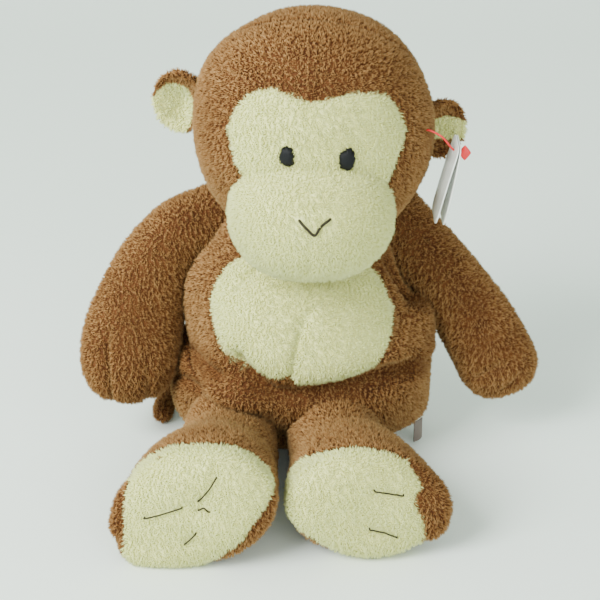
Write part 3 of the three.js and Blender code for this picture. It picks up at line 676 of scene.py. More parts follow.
def mottled(name, dark, pale, size, roughness=0.9, sheen=0.05, bump=0.4, fine=0.0006):
    """Cloth whose shade wanders between two colours, with a fine uneven surface."""
    specular = GLOSSY if roughness < 0.8 else DULL
    material, nodes, links, shader = new_material(name, roughness, sheen, specular)
    place = nodes.new("ShaderNodeTexCoord")
    broad = add_node(nodes, "TexNoise", Scale=1 / (size * MM), Detail=3)
    links.new(place.outputs["Object"], broad.inputs["Vector"])
    shades = mottle_ramp(nodes, dark, pale)
    links.new(broad.outputs["Fac"], shades.inputs["Fac"])
    links.new(shades.outputs["Color"], shader.inputs["Base Color"])
    grain = add_node(nodes, "TexNoise", Scale=1 / fine)
    links.new(place.outputs["Object"], grain.inputs["Vector"])
    add_relief(nodes, links, shader, grain.outputs["Fac"], bump, fine / 2)
    return material


BROWN_CLOTH = mottled("brown cloth", *BROWN_SHADES, 6)
CREAM_CLOTH = mottled("cream cloth", *CREAM_SHADES, 6)


def two_tone(name):
    """The brown cloth with the cream cloth's shades where the mesh's panel attribute is one."""
    material = BROWN_CLOTH.copy()
    material.name = name
    nodes, links = material.node_tree.nodes, material.node_tree.links
    shader = nodes["Principled BSDF"]
    brown = shader.inputs["Base Color"].links[0].from_socket
    cream = mottle_ramp(nodes, *CREAM_SHADES)
    links.new(nodes["Noise Texture"].outputs["Fac"], cream.inputs["Fac"])
    mark = nodes.new("ShaderNodeAttribute")
    mark.attribute_name = "panel"
    mix = mix_colours(nodes, links, brown, cream.outputs["Color"])
    links.new(mark.outputs["Fac"], mix.inputs[0])
    links.new(mix.outputs[2], shader.inputs["Base Color"])
    return material


PANEL_CLOTH = two_tone("cloth with panels")
print("materials:", len(bpy.data.materials))

# %% [markdown]
# ## Growing the pile
# Pile could be particle hair, but hair is not a mesh and would be lost outside Blender. Here each lock is a thin
# pyramid of four faces. Locks lean up the slope of a noise field, so those round a high spot meet in a small
# tuft and dark gaps open between the tufts, as on the real cloth after handling.

# %% Lock roots
DENSITY = 2.8         # locks in a square millimetre


def roots_on(form, seed):
    """Even random places on a form: cells of the grid are picked in turn, each as often as its area asks."""
    rows, around = 220, 200
    v = np.linspace(0, 1, rows + 1)
    theta = 2 * np.pi * np.arange(around + 1) / around
    corner = surface(form, v[:, None] + 0 * theta, theta[None] + 0 * v[:, None], -PILE)
    one = corner[1:, 1:] - corner[:-1, :-1]
    other = corner[1:, :-1] - corner[:-1, 1:]
    area = (np.linalg.norm(np.cross(one, other), axis=-1) / 2).ravel()
    random = np.random.default_rng(seed)
    count = int(area.sum() * DENSITY)
    total = np.cumsum(area)
    picked = np.searchsorted(total, (np.arange(count) + random.uniform(0, 1, count)) / count * total[-1])
    picked = np.minimum(picked, len(area) - 1)
    v_at = v[picked // around] + random.uniform(0, 1, count) / rows
    theta_at = theta[picked % around] + random.uniform(0, 1, count) * 2 * np.pi / around
    return surface_normal(form, v_at, theta_at, -PILE)


TURN = np.array([[0.36, 0.48, -0.8], [-0.8, 0.6, 0.0], [0.48, 0.64, 0.6]])   # turns the noise off the axes
LONG = np.array([1.0, 1.0, 0.62])     # tufts are longer down the toy, the way that the pile is brushed


def tuft_field(points, size, seed):
    """The noise height at each point and its slope, from steps either way along each axis."""
    step = 0.2 * size

    def height(places):
        return noise((places * LONG) @ TURN, size, seed)

    sides = [height(points + step * axis) - height(points - step * axis) for axis in np.eye(3)]
    return height(points), np.stack(sides, axis=-1) / (2 * step)


print("slope of the tufts at one place:", tuft_field(np.array([[1.0, 2, 3]]), 1.2, 1)[1].round(2))

# %% Locks as one mesh
def fast_mesh(name, points, triangles):
    """A mesh of triangles, filled array by array."""
    mesh = bpy.data.meshes.new(name)
    mesh.vertices.add(len(points))
    mesh.vertices.foreach_set("co", (points * MM).astype(np.float32).ravel())
    mesh.loops.add(triangles.size)
    mesh.loops.foreach_set("vertex_index", triangles.astype(np.int32).ravel())
    mesh.polygons.add(len(triangles))
    mesh.polygons.foreach_set("loop_start", (3 * np.arange(len(triangles))).astype(np.int32))
    mesh.polygons.foreach_set("use_smooth", np.ones(len(triangles), bool))
    mesh.update(calc_edges=True)
    return add_object(name, mesh)


LOCK = 2.1            # length of a lock
LOCK_WIDTH = 0.36     # from its middle to a corner of its foot
FOOT_DEPTH = 0.4      # a lock starts this far inside the cloth
TUFT = 1.2            # size of a tuft
FINE = 0.6            # size of the finer tufts, as a share of it
PULL = 1.1            # how far a tip is pulled for each unit of the field
MOST_PULL = 1.1       # the field is cut off at this
JITTER = 0.35
DOWN = np.array([0, 0, -1.0])
TALL = 0.85           # a lock's usual share of the length
TALL_BY = (0.28, 0.1, 0.12)           # what its tuft, its fine tuft and chance add to that
TONE_BY = (0.16, 0.1, 0.13, 0.14)     # what its tuft, its fine tuft, chance and its place add to its tone


def grow_pile(name, points, normals, material, seed, length=LOCK, droop=0.45, tone=0.5):
    """Pyramids with a three-cornered foot in the cloth. The tip is pulled to its tuft, combed and jittered."""
    random = np.random.default_rng(seed)
    count = len(points)
    height, slope = tuft_field(points, TUFT, seed)
    fine, fine_slope = tuft_field(points, TUFT * FINE, seed + 1)
    pulled = slope * TUFT + 0.5 * fine_slope * TUFT * FINE
    pulled += droop * DOWN + JITTER * random.normal(size=(count, 3))
    pulled -= normals * np.sum(pulled * normals, axis=1, keepdims=True)
    size = np.linalg.norm(pulled, axis=1, keepdims=True)
    pulled *= np.minimum(1, MOST_PULL / np.maximum(size, 1e-9))
    tall = TALL + TALL_BY[0] * height + TALL_BY[1] * fine + TALL_BY[2] * random.uniform(-1, 1, count)
    tall = length * tall
    tip = points + normals * tall[:, None] + pulled * PULL
    tip[:, 2] = np.maximum(tip[:, 2], FLOOR_GAP)
    ahead = unit(tip - points)
    across = unit(np.cross(ahead, random.normal(size=(count, 3))))
    upward = np.cross(ahead, across)
    foot = points - normals * FOOT_DEPTH
    foot[:, 2] = np.maximum(foot[:, 2], FLOOR_GAP)
    wide = LOCK_WIDTH * random.uniform(0.8, 1.2, count)
    turns = 2 * np.pi / 3 * np.arange(3)
    corners = [foot + wide[:, None] * (across * np.cos(a) + upward * np.sin(a)) for a in turns]
    verts = np.stack([*corners, tip], axis=1)
    verts[:, :3, 2] = np.maximum(verts[:, :3, 2], FLOOR_GAP / 2)
    first = 4 * np.arange(count)[:, None]
    faces = np.concatenate([first + [0, 1, 3], first + [1, 2, 3], first + [2, 0, 3], first + [0, 2, 1]], axis=1)
    own = tone + TONE_BY[0] * height + TONE_BY[1] * fine + TONE_BY[2] * random.normal(size=count)
    own = np.clip(own + TONE_BY[3] * noise(points, 14, seed + 2), 0.03, 0.97)
    map_u = own[:, None] + np.array([-0.02, 0.0, 0.02, 0.0])
    map_v = np.tile([0.02, 0.02, 0.02, 0.98], (count, 1))
    thing = fast_mesh(name, verts.reshape(-1, 3), faces.reshape(-1, 3))
    layer = thing.data.uv_layers.new(name=PILE_MAP)
    uv = stack(map_u.ravel(), map_v.ravel())[faces.ravel()]
    layer.data.foreach_set("uv", uv.astype(np.float32).ravel())
    thing.data.materials.append(material)
    print(f"{name}: {count} locks, {4 * count} faces")
    return thing


print("a lock is", LOCK, "mm long")

# %% Where locks are hidden or short
def within(form, points, grow):
    """Whether points lie inside a grown form: behind the nearest of a grid of points on its skin."""
    rows, around, batch = 40, 24, 4000
    v = np.linspace(0.02, 0.98, rows)[:, None] + np.zeros(around)
    theta = np.zeros((rows, 1)) + circle(around)
    skin = surface(form, v, theta, grow).reshape(-1, 3)
    outward = plain_surface(form, v, theta, grow)[1].reshape(-1, 3)
    result = np.zeros(len(points), bool)
    near = np.flatnonzero(np.all((points > skin.min(axis=0)) & (points < skin.max(axis=0)), axis=1))
    for part in np.array_split(near, max(1, len(near) // batch)):
        gap = np.linalg.norm(points[part][:, None] - skin[None], axis=2)
        at = gap.argmin(axis=1)
        result[part] = np.sum((points[part] - skin[at]) * outward[at], axis=1) < 0
    return result


def in_ball(points, centre, radius):
    """Whether points lie inside a ball."""
    return np.linalg.norm(points - centre, axis=1) < radius


def shortened(points, lines, reach=1.3, most=0.75):
    """How long the locks are, as a share: short close to threads that are pulled into the pile."""
    share = np.ones(len(points))
    for line in lines:
        share *= 1 - most * bell(near_line(points[:, [0, 2]], line), reach)
    return share


tail_roots = roots_on(TAIL, 1)[0]
print(len(tail_roots), "roots on the tail,", within(BODY, tail_roots, 0).sum(), "of them inside the body")

# %% [markdown]
# ## The head
# A ball of brown cloth. The mask is let in at the front, so the same ball carries brown locks outside the mask's
# outline and cream ones inside it. The muzzle's bag covers the lower face, so no locks grow under it.

# %% Cloth of the head
head_cloth = replace_with(
    cover("head_cloth", HEAD, 110, 160, panel=PANELS["head"]),
    "head", "head_skin", material=PANEL_CLOTH, fill=0.9)
muzzle_cloth = replace_with(
    cover("muzzle_cloth", MUZZLE, 80, 130), "head", "muzzle_skin", material=CREAM_CLOTH, fill=0.85)
print("head and muzzle cloth:", len(head_cloth.data.polygons) + len(muzzle_cloth.data.polygons), "faces")

# %% Locks of the head
EYES = {"right": (-5.8, 171.4, 3.0, 4.2), "left": (20.4, 169.9, 3.4, 4.6)}     # x, z, half width, half height
EYE_EDGE = 0.8        # locks start this far under the edge of an eye
TUCKED = -2.5         # no lock starts deeper than this under the cloth that lies over it
NECK = 0.955          # no lock starts lower on the head than this share of its radius
points, normals = roots_on(HEAD, 101)
hidden = within(MUZZLE, points, TUCKED) | (points[:, 2] < HEAD_CENTRE[2] - NECK * HEAD_RADIUS)
masked = PANELS["head"](points)
for eye_x, eye_z, half_wide, half_high in EYES.values():
    across = (points[:, 0] - eye_x) / (half_wide - EYE_EDGE)
    up = (points[:, 2] - eye_z) / (half_high - EYE_EDGE)
    hidden |= (across**2 + up**2 < 1) & (points[:, 1] < HEAD_CENTRE[1])
keep = ~hidden & ~masked
front = points[:, 1] < HEAD_CENTRE[1]
left = points[:, 0] > HEAD_CENTRE[0]
for name, half in {"front": front, "back_right": ~front & ~left, "back_left": ~front & left}.items():
    chosen = keep & half
    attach(grow_pile("head_pile_" + name, points[chosen], normals[chosen], BROWN_PILE, 102), "head")
mask_pile = grow_pile(
    "mask_pile", points[~hidden & masked], normals[~hidden & masked], CREAM_PILE, 104, droop=0.3)
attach(mask_pile, "head")
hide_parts("face_mask")

# %% Locks of the muzzle
MOUTH_LINE = [[-0.6, 148], [3, 144.9], [6.1, 142.2], [8.2, 144.4], [10.3, 146.8], [13.2, 148.6]]
points, normals = roots_on(MUZZLE, 111)
keep = ~within(HEAD, points, TUCKED)
points, normals = points[keep], normals[keep]
muzzle_pile = grow_pile("muzzle_pile", points, normals, CREAM_PILE, 112, droop=0.3,
                        length=LOCK * shortened(points, [MOUTH_LINE[:4], MOUTH_LINE[-2:]]))
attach(muzzle_pile, "head")

# %% [markdown]
# ## The ears
# Each ear is a shallow cup: a cream lining in front, a brown back behind, sewn edge to edge. Its surface is a
# bowl: the depth falls with the square of the distance from the middle.

# %% The cup of an ear
EAR_CUP = 8
EARS = {
    "right": dict(sign=-1, root=[-47.2, -10, 176.5], reach=8.5, wide=12, high=13.8, face=18,
                  cream=[-3.4, -4.6, 9.8, 12.6]),
    "left": dict(sign=1, root=[60.2, -10, 163.5], reach=6, wide=12, high=13, face=30, cream=[4.5, -1.6, 10, 5.6]),
}


def ear_surface(ear, share, angle, depth):
    """A bowl: y is the cup's depth times one minus the share squared, moved back by depth. Then it is turned and
    placed."""
    x = ear["wide"] * share * np.cos(angle)
    z = ear["high"] * share * np.sin(angle)
    y = EAR_CUP * (1 - share**2) + depth + 0.9 * noise(stack(x, z, depth + 0 * x), 7, 31)
    turn = np.radians(ear["sign"] * ear["face"])
    placed = stack(x * np.cos(turn) - y * np.sin(turn), x * np.sin(turn) + y * np.cos(turn), z)
    return placed + np.array(ear["root"]) + [ear["sign"] * ear["reach"], 0, 0]


def ear_shell(name, ear, near, far, count=14, around=72):
    """A closed layer of cloth: out over its front face, round the rim and back over its rear face."""
    shares = np.linspace(0, 1, count + 1)[1:]
    angle = circle(around)
    faces = [(near, shares), (far, shares[::-1])]
    rows = [ear_surface(ear, s + 0 * angle, angle, depth + 0 * angle) for depth, order in faces for s in order]
    poles = [ear_surface(ear, np.zeros(1), np.zeros(1), np.full(1, depth)) for depth in (near, far)]
    points = np.concatenate([poles[0], *rows, poles[1]])
    return new_mesh(name, points, rings(len(rows), around))


def on_lining(ear, points):
    """Whether places on the cup's front are cream. The points are measured in the cup's own frame, before it was
    turned and placed. The brown back wraps forward round an off-centre oval."""
    turn = np.radians(ear["sign"] * ear["face"])
    local = points - np.array(ear["root"]) - [ear["sign"] * ear["reach"], 0, 0]
    x, z = local[:, 0] * np.cos(turn) + local[:, 1] * np.sin(turn), local[:, 2]
    middle_x, middle_z, wide, high = ear["cream"]
    return ((x - middle_x) / wide) ** 2 + ((z - middle_z) / high) ** 2 < 1


middles = [ear_surface(ear, np.zeros(1), np.zeros(1), np.zeros(1))[0] for ear in EARS.values()]
print("middles of the ears:", np.round(middles, 1).tolist())

# %% Cloth of an ear
EAR_FRONT, LINING_REAR, BACK_FRONT, EAR_REAR = 0.5, 2.0, 2.3, 3.9     # how far back each face of the cloth lies


def ear_cloth(side, ear):
    """The two layers of an ear, the lining in front."""
    lining = ear_shell(f"ear_{side}_lining_cloth", ear, EAR_FRONT, LINING_REAR)
    places = np.array([vertex.co for vertex in lining.data.vertices]) / MM
    mark_panel(lining, on_lining(ear, places))
    replace_with(lining, "ear_" + side, f"ear_{side}_lining", material=PANEL_CLOTH)
    back = ear_shell(f"ear_{side}_back_cloth", ear, BACK_FRONT, EAR_REAR)
    replace_with(back, "ear_" + side, f"ear_{side}_back", material=BROWN_CLOTH)
    print(side, "ear:", len(lining.data.polygons) + len(back.data.polygons), "faces")


print("an ear is", EAR_REAR - EAR_FRONT, "mm thick")

# %% Both ears and their locks
EAR_DENSITY = 1.2 * DENSITY       # an ear is bent, so its locks stand closer
BOWL_AREA = 1.35                  # the cup's surface, measured by the oval that it covers
WRAP = 2.2                        # the lining's cream reaches this far back over the edge


def ear_face(ear, depth, facing, edge, fan, seed):
    """Even random places on a face of the cup, with normals from small steps, turned to face the given way. Past
    the edge's share they fan outward from the cup's middle."""
    step = 0.01
    random = np.random.default_rng(seed)
    count = int(np.pi * ear["wide"] * ear["high"] * BOWL_AREA * EAR_DENSITY)
    share, angle = np.sqrt(random.uniform(0, 1, count)), random.uniform(0, 2 * np.pi, count)
    here = ear_surface(ear, share, angle, depth + 0 * share)
    out = ear_surface(ear, share + step, angle, depth + 0 * share) - here
    round_it = ear_surface(ear, share, angle + step, depth + 0 * share) - here
    normals = unit(np.cross(out, round_it))
    normals = normals * np.sign(normals[:, 1:2]) * facing
    outward = unit(here - ear_surface(ear, np.zeros(1), np.zeros(1), np.full(1, 3.0)))
    return here, np.where((share > edge)[:, None], unit(normals + fan * outward), normals)


def ear_rim(ear, seed):
    """Even random places on the cup's edge, the way that they face outward, and how far back each lies."""
    near, far = 0.4, 4.0
    random = np.random.default_rng(seed)
    count = int(2 * np.pi * ear["high"] * (far - near) * DENSITY)
    angle, depth = random.uniform(0, 2 * np.pi, count), random.uniform(near, far, count)
    here = ear_surface(ear, 1 + 0 * angle, angle, depth)
    return here, unit(here - ear_surface(ear, 0.9 + 0 * angle, angle, depth + 0.3)), depth


for number, (side, ear) in enumerate(EARS.items()):
    ear_cloth(side, ear)
    front, front_normals = ear_face(ear, EAR_FRONT, -1, 0.9, 1.2, 121 + number)
    rim, rim_normals, rim_depth = ear_rim(ear, 131 + number)
    back, back_normals = ear_face(ear, EAR_REAR, 1, 0.85, 1.5, 125 + number)
    points = np.concatenate([front, rim])
    normals = np.concatenate([front_normals, rim_normals])
    cream = on_lining(ear, points)
    cream[len(front):] &= rim_depth < WRAP
    clear = ~in_ball(points, HEAD_CENTRE, HEAD_RADIUS - 1.5)
    back_clear = ~in_ball(back, HEAD_CENTRE, HEAD_RADIUS - 1.5)
    chosen = clear & cream
    pile = grow_pile(f"ear_{side}_lining_pile", points[chosen], normals[chosen], CREAM_PILE, 123 + number)
    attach(pile, "ear_" + side)
    points = np.concatenate([back[back_clear], points[clear & ~cream]])
    normals = np.concatenate([back_normals[back_clear], normals[clear & ~cream]])
    pile = grow_pile(f"ear_{side}_back_pile", points, normals, BROWN_PILE, 127 + number)
    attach(pile, "ear_" + side)

# %% [markdown]
# ## The body
# The pear of the body sits on a bag of pellets. Its front carries the cream belly patch.

# %% Cloth of the body
body_cloth = replace_with(
    cover("body_cloth", BODY, 120, 200, panel=PANELS["body"]),
    "body", "body_skin", material=PANEL_CLOTH, fill=0.6)
print("body cloth:", len(body_cloth.data.polygons), "faces")

# %% Locks of the body
LOW = 0.6             # no lock starts lower than this over the floor
points, normals = roots_on(BODY, 201)
hidden = in_ball(points, HEAD_CENTRE, HEAD_RADIUS - 1) | (points[:, 2] < LOW)
for side in SIDES:
    hidden |= in_ball(points, ARMS[side]["path"][1], ARM_RADIUS - PILE - 2)
    hidden |= in_ball(points, LEGS[side]["path"][1], LEG_RADIUS - PILE - 2)
patched = PANELS["body"](points)
front = points[:, 1] < 0
left = points[:, 0] > 0
DEEP_FOLDS = [       # how far each fold's painted shade reaches, and its line
    (6.5, [[-22, -53.6, 56], [-4, -56, 48], [9, -56.8, 49], [23, -55.2, 52], [41.5, -46.4, 55], [56, -24, 51]]),
    (6.5, [[-56.8, -0.6, 51], [-47.6, -26.8, 54.5], [-36.6, -44.3, 53.9]]),
    (6.5, [[-62, -8, 36], [-55.8, -20.2, 40.2], [-47, -34, 41]]),
    (9.0, [[40, -15, 102], [46, -12, 92], [50, -11, 84], [55, -11, 74], [57, -12, 64], [55, -14, 58]]),
]
# Painted shade: locks near the deepest folds and in the pocket by the left arm get a darker tone.
fold_shade = sum(bell(near_line(points, line), reach) for reach, line in DEEP_FOLDS)
painted_fold_tone = 0.55 - 0.5 * np.minimum(fold_shade, 1)       # painted shade: on a fold's line the locks' tone falls near its dark end
pieces = {
    "body_pile_front": (~patched & front, BROWN_PILE),
    "body_pile_back_right": (~patched & ~front & ~left, BROWN_PILE),
    "body_pile_back_left": (~patched & ~front & left, BROWN_PILE),
    "belly_patch_pile": (patched, CREAM_PILE),
}
for name, (chosen, material) in pieces.items():
    keep = chosen & ~hidden
    tone = painted_fold_tone[keep] if material is BROWN_PILE else 0.5
    pile = grow_pile(name, points[keep], normals[keep], material, 202, tone=tone)
    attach(pile, "body")
    if name == "belly_patch_pile":
        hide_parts("belly_patch")

# %% [markdown]
# ## Arms, legs and tail
# A limb is sewn to the body at a seam. When it swings, the cloth near the seam stays with the body and the rest
# goes with the limb.

# %% Toe lines
TOE_LINES = {
    "right": [
        [[-67.5, 25.6], [-66, 26.2], [-60.1, 28.7], [-52.1, 32.1], [-50.5, 32.6]],
        [[-35.6, 47.4], [-36.4, 46.1], [-39, 41.8], [-43, 37], [-44, 35.8]],
        [[-43.8, 31.5], [-42.7, 32.1], [-40.5, 33.3], [-38.6, 31.2]],
        [[-45, 20.6], [-45.6, 19.9], [-49.4, 15.5], [-50, 14.8]],
    ],
    "left": [
        [[32, 37.6], [33.1, 37.3], [40.3, 35.3], [44, 34.4], [45, 34.2]],
        [[30.2, 18.8], [31.2, 18.5], [37, 17], [41.7, 14.2], [42.5, 13.6]],
    ],
}
TOE_LIFTS = {
    "right": [[2.4, 2.3, 2.5, 1.7, 1.9], [2.3, 2.3, 1.8, 1.2, 0.9], [1.6, 2.0, 1.8], [1.5, 1.8, 1.5]],
    "left": [[2.4, 1.9, 1.4, 1.8, 1.6], [2.1, 1.5, 2.0, 1.4, 1.2]],
}
for side, lines in TOE_LINES.items():
    front = LEGS[side]["path"][-1, 1] + 1
    LEGS[side]["shaping"] += [crease([[x, front, z] for x, z in line], 4.0, 1.2) for line in lines]
print("toe lines:", sum(len(lines) for lines in TOE_LINES.values()))

# %% Limbs
UNDER_BODY = -4.5     # a limb's locks start at most this deep inside the body


def across_seam(thing, form):
    """Moves a piece's placement into its points."""
    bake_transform(thing)


def dress_limb(limb, node, form, rows, around, seed, root_radius, panel=None, toes=()):
    """The cloth of a limb and its locks. They are cream where the panel's test is true, on the sole."""
    cloth = cover(limb + "_cloth", form, rows, around, panel=panel)
    cloth.data.materials.append(BROWN_CLOTH if panel is None else PANEL_CLOTH)
    across_seam(cloth, form)
    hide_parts(node)
    points, normals = roots_on(form, seed)
    hidden = in_ball(points, form["path"][1], root_radius - PILE - 3) | (points[:, 2] < LOW)
    hidden |= within(BODY, points, UNDER_BODY)
    cream = np.zeros(len(points), bool)
    if panel is not None:
        cream = panel(points)
        chosen = cream & ~hidden
        pile = grow_pile(limb + "_sole_pile", points[chosen], normals[chosen], CREAM_PILE, seed + 2, droop=0.3,
                         length=LOCK * shortened(points[chosen], toes, 0.9))
        across_seam(pile, form)
        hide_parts(limb + "_sole")
    keep = ~hidden & ~cream
    pile = grow_pile(limb + "_pile", points[keep], normals[keep], BROWN_PILE, seed + 1)
    across_seam(pile, form)


for number, side in enumerate(SIDES):
    dress_limb("arm_" + side, f"arm_{side}_skin", ARMS[side], 90, 90, 301 + 10 * number, ARM_RADIUS)
for number, side in enumerate(SIDES):
    dress_limb("leg_" + side, f"leg_{side}_skin", LEGS[side], 90, 120, 331 + 10 * number, LEG_RADIUS,
               PANELS["leg_" + side], TOE_LINES[side])
dress_limb("tail", "tail", TAIL, 90, 30, 361, TAIL_RADIUS)

# %% [markdown]
# ## Eyes and stitches
# The eyes are satin stitch: rows of thread laid side by side, raised over padding. The mouth and the toes are
# single threads pulled into the pile.

# %% Thread
def thread_material(name, dark, pale):
    """Twisted thread: fine bands across the strand, with the gloss of mercerised cotton."""
    material, nodes, links, shader = new_material(name, 0.5, specular=0.2)
    place = nodes.new("ShaderNodeTexCoord")
    bands = add_node(nodes, "TexWave", Scale=700, Distortion=2)
    links.new(place.outputs["Object"], bands.inputs["Vector"])
    shades = ramp(nodes, [(0.0, colour(*dark)), (1.0, colour(*pale))])
    links.new(bands.outputs["Fac"], shades.inputs["Fac"])
    links.new(shades.outputs["Color"], shader.inputs["Base Color"])
    add_relief(nodes, links, shader, bands.outputs["Fac"], 0.5, 0.0001)
    return material


BLACK_THREAD = thread_material("black thread", (2, 2, 4), (11, 12, 16))
DARK_THREAD = thread_material("dark thread", (24, 20, 12), (52, 46, 30))


print("threads:", BLACK_THREAD.name, "and", DARK_THREAD.name)

# %% Strands over a form
def find_on(form, x, z):
    """The front point of a form's cloth at each x and z: a near point of a grid, the foremost, then eight steps
    of Newton's way, each no longer than a limit."""
    batch, forward, step, least = 400, 0.2, 1e-4, 1e-3
    most_v, most_theta = 0.02, 0.05
    v, theta = np.meshgrid(np.linspace(0.02, 0.98, 90), circle(150), indexing="ij")
    v, theta = v.ravel(), theta.ravel()
    grid, normals = surface_normal(form, v, theta, -PILE)
    facing = normals[:, 1] < 0
    v, theta, grid = v[facing], theta[facing], grid[facing]
    parts = 1 + len(x) // batch
    nearest = np.concatenate([
        ((grid[:, 0] - a[:, None]) ** 2 + (grid[:, 2] - b[:, None]) ** 2 + forward * grid[:, 1]).argmin(axis=1)
        for a, b in zip(np.array_split(x, parts), np.array_split(z, parts))])
    v, theta = v[nearest], theta[nearest]
    for _ in range(8):
        here = surface(form, v, theta, -PILE)
        miss = stack(x - here[:, 0], z - here[:, 2])
        by_v = (surface(form, v + step, theta, -PILE) - here) / step
        by_theta = (surface(form, v, theta + step, -PILE) - here) / step
        a, b, c, d = by_v[:, 0], by_theta[:, 0], by_v[:, 2], by_theta[:, 2]
        det = a * d - b * c
        det = np.where(np.abs(det) < least, least, det)
        change_v = (miss[:, 0] * d - miss[:, 1] * b) / det
        change_theta = (miss[:, 1] * a - miss[:, 0] * c) / det
        v = np.clip(v + np.clip(change_v, -most_v, most_v), 0.001, 0.999)
        theta = theta + np.clip(change_theta, -most_theta, most_theta)
    return surface_normal(form, v, theta, -PILE)


def tube(name, path, radius, material, around=8):
    """A round strand along points: circles square to the path, with a point at each end."""
    path = np.asarray(path, float)
    ahead = unit(np.gradient(path, axis=0))
    across = unit(np.cross(ahead, [0.13, 1.0, 0.31]))
    upward = np.cross(ahead, across)
    angle = circle(around)
    radius = np.broadcast_to(radius, len(path))[:, None, None]
    cosine, sine = np.cos(angle)[:, None], np.sin(angle)[:, None]
    ring = path[:, None] + radius * (across[:, None] * cosine + upward[:, None] * sine)
    ends = [path[0] - ahead[0] * radius[0, 0, 0] * 0.6, path[-1] + ahead[-1] * radius[-1, 0, 0] * 0.6]
    points = np.concatenate([[ends[0]], ring.reshape(-1, 3), [ends[1]]])
    thing = new_mesh(name, points, rings(len(path), around))
    thing.data.materials.append(material)
    return thing


print("between the eyes:", find_on(HEAD, np.array([7.0]), np.array([170.0]))[0].round(1))

# %% Eyes
def on_ball(x, z):
    """The front point of the head's ball at x and z."""
    depth = np.sqrt(HEAD_RADIUS**2 - (x - HEAD_CENTRE[0]) ** 2 - (z - HEAD_CENTRE[2]) ** 2)
    return stack(x, HEAD_CENTRE[1] - depth, z)


def satin_eye(name, x, z, half_wide, half_high, seed):
    """An oval on the head with a domed front. Its rows of thread are ridged along x, and its edge is ragged."""
    count, around = 22, 120
    angle = circle(around)
    random = np.random.default_rng(seed)
    notches = np.repeat(random.uniform(-1, 1, around // 4), 4)
    square, domed, rise_high, sunk = 2.4, 2.6, 1.9, 0.7
    row, row_high = 0.42, 0.07
    ragged = 1 + 0.12 * notches + 0.06 * random.uniform(-1, 1, around) + 0.05 * np.sin(3 * angle + seed)
    shares = np.linspace(0, 1, count + 1)[1:]
    spread = shares[:, None] * (1 + (ragged - 1) * shares[:, None] ** 3)
    flat_x = x + half_wide * spread * power(np.cos(angle), square)
    flat_z = z + half_high * spread * power(np.sin(angle), square)
    base = on_ball(flat_x, flat_z)
    out = unit(base - HEAD_CENTRE)
    ridge = row_high * np.abs(np.sin(np.pi * flat_z / row + 0.5 * np.sin(flat_x * 1.3)))
    rise = rise_high * np.sqrt(np.maximum(1 - shares[:, None] ** domed, 0)) - sunk + ridge
    front = base + out * rise[..., None]
    middle = on_ball(x, z)[None]
    out_middle = unit(middle - HEAD_CENTRE)
    behind = base[-1] - out[-1] * 1.6
    points = np.concatenate([middle + out_middle * 1.2, front.reshape(-1, 3), behind, middle - out_middle * 1.6])
    return new_mesh(name, points, rings(count + 1, around))


for number, (side, places) in enumerate(EYES.items()):
    eye = satin_eye("eye_stitch_" + side, *places, 41 + number)
    replace_with(eye, "head", "eye_" + side, material=BLACK_THREAD)
    print(eye.name, "has", len(eye.data.polygons), "faces")

# %% Mouth and toes
def stitch(name, form, line, radius, lifts):
    """A thread over a form, along the curve through x and z places. It lies as high as the lifts say, in turn
    along it, wavers a little between the locks, and is sunk at its two ends."""
    share = np.linspace(0, 1, 90)
    flat = spline(line, share)
    points, normals = find_on(form, flat[:, 0], flat[:, 1])
    high = np.interp(share, np.linspace(0, 1, len(lifts)), lifts) + 0.25 * noise(points, 1.1, 51)
    sunk = (2 * share - 1) ** 8
    height = high * (1 - sunk) - sunk
    print(name, "lies at y", points[:, 1].min().round(1), "to", points[:, 1].max().round(1))
    return tube(name, points + normals * height[:, None], radius, DARK_THREAD)


mouth = stitch("mouth_thread", MUZZLE, MOUTH_LINE, 0.62, [2.5, 2.6, 2.5, 1.7, 0.1, 1.6, 2.5])
replace_with(mouth, "head", "mouth_stitch")
for side, lines in TOE_LINES.items():
    for number, line in enumerate(lines):
        thread = stitch(f"toe_thread_{side}_{number}", LEGS[side], line, 0.36, TOE_LIFTS[side][number])
        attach(thread, "leg_" + side)

# %% [markdown]
# ## Label, card and tie
# The satin ribbon label stands out of the side seam. The folded card hangs from the tie: a nylon loop that ends
# in a flat button. All of them are blank.

# %% Label
def satin(name, shade, roughness):
    """Smooth ribbon or coated card: a slight mottle and a soft gloss."""
    return mottled(name, tuple(int(0.93 * c) for c in shade), shade, 9, roughness, 0.1, 0.15, 0.0003)


CARD_FACE = satin("coated card", (236, 238, 234), 0.35)
RIBBON = satin("ribbon", (104, 90, 84), 0.45)
label_low = np.array(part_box("sewn_label")[0]) / MM


def slab(name, place, thick, count=24):
    """A thin closed sheet: two faces of a grid of u and v, joined along the four edges."""
    columns = count + 1
    share = np.linspace(0, 1, columns)
    front = place(*np.meshgrid(share, share, indexing="ij"))
    normal = unit(np.cross(np.gradient(front, axis=0), np.gradient(front, axis=1)))
    both = np.concatenate([(front + side * normal * thick / 2).reshape(-1, 3) for side in (1, -1)])
    quads = grid_quads(columns, columns)
    offset = columns * columns
    edge = np.concatenate([
        np.arange(0, count * columns + 1, columns), count * columns + np.arange(1, columns),
        np.arange(offset - 1 - columns, 0, -columns), np.arange(columns - 2, 0, -1)])
    after = np.roll(edge, -1)
    walls = stack(edge, edge + offset, after + offset, after)
    thing = new_mesh(name, both, np.concatenate([quads, (quads + offset)[:, ::-1], walls]))
    thing.data.shade_flat()
    return thing


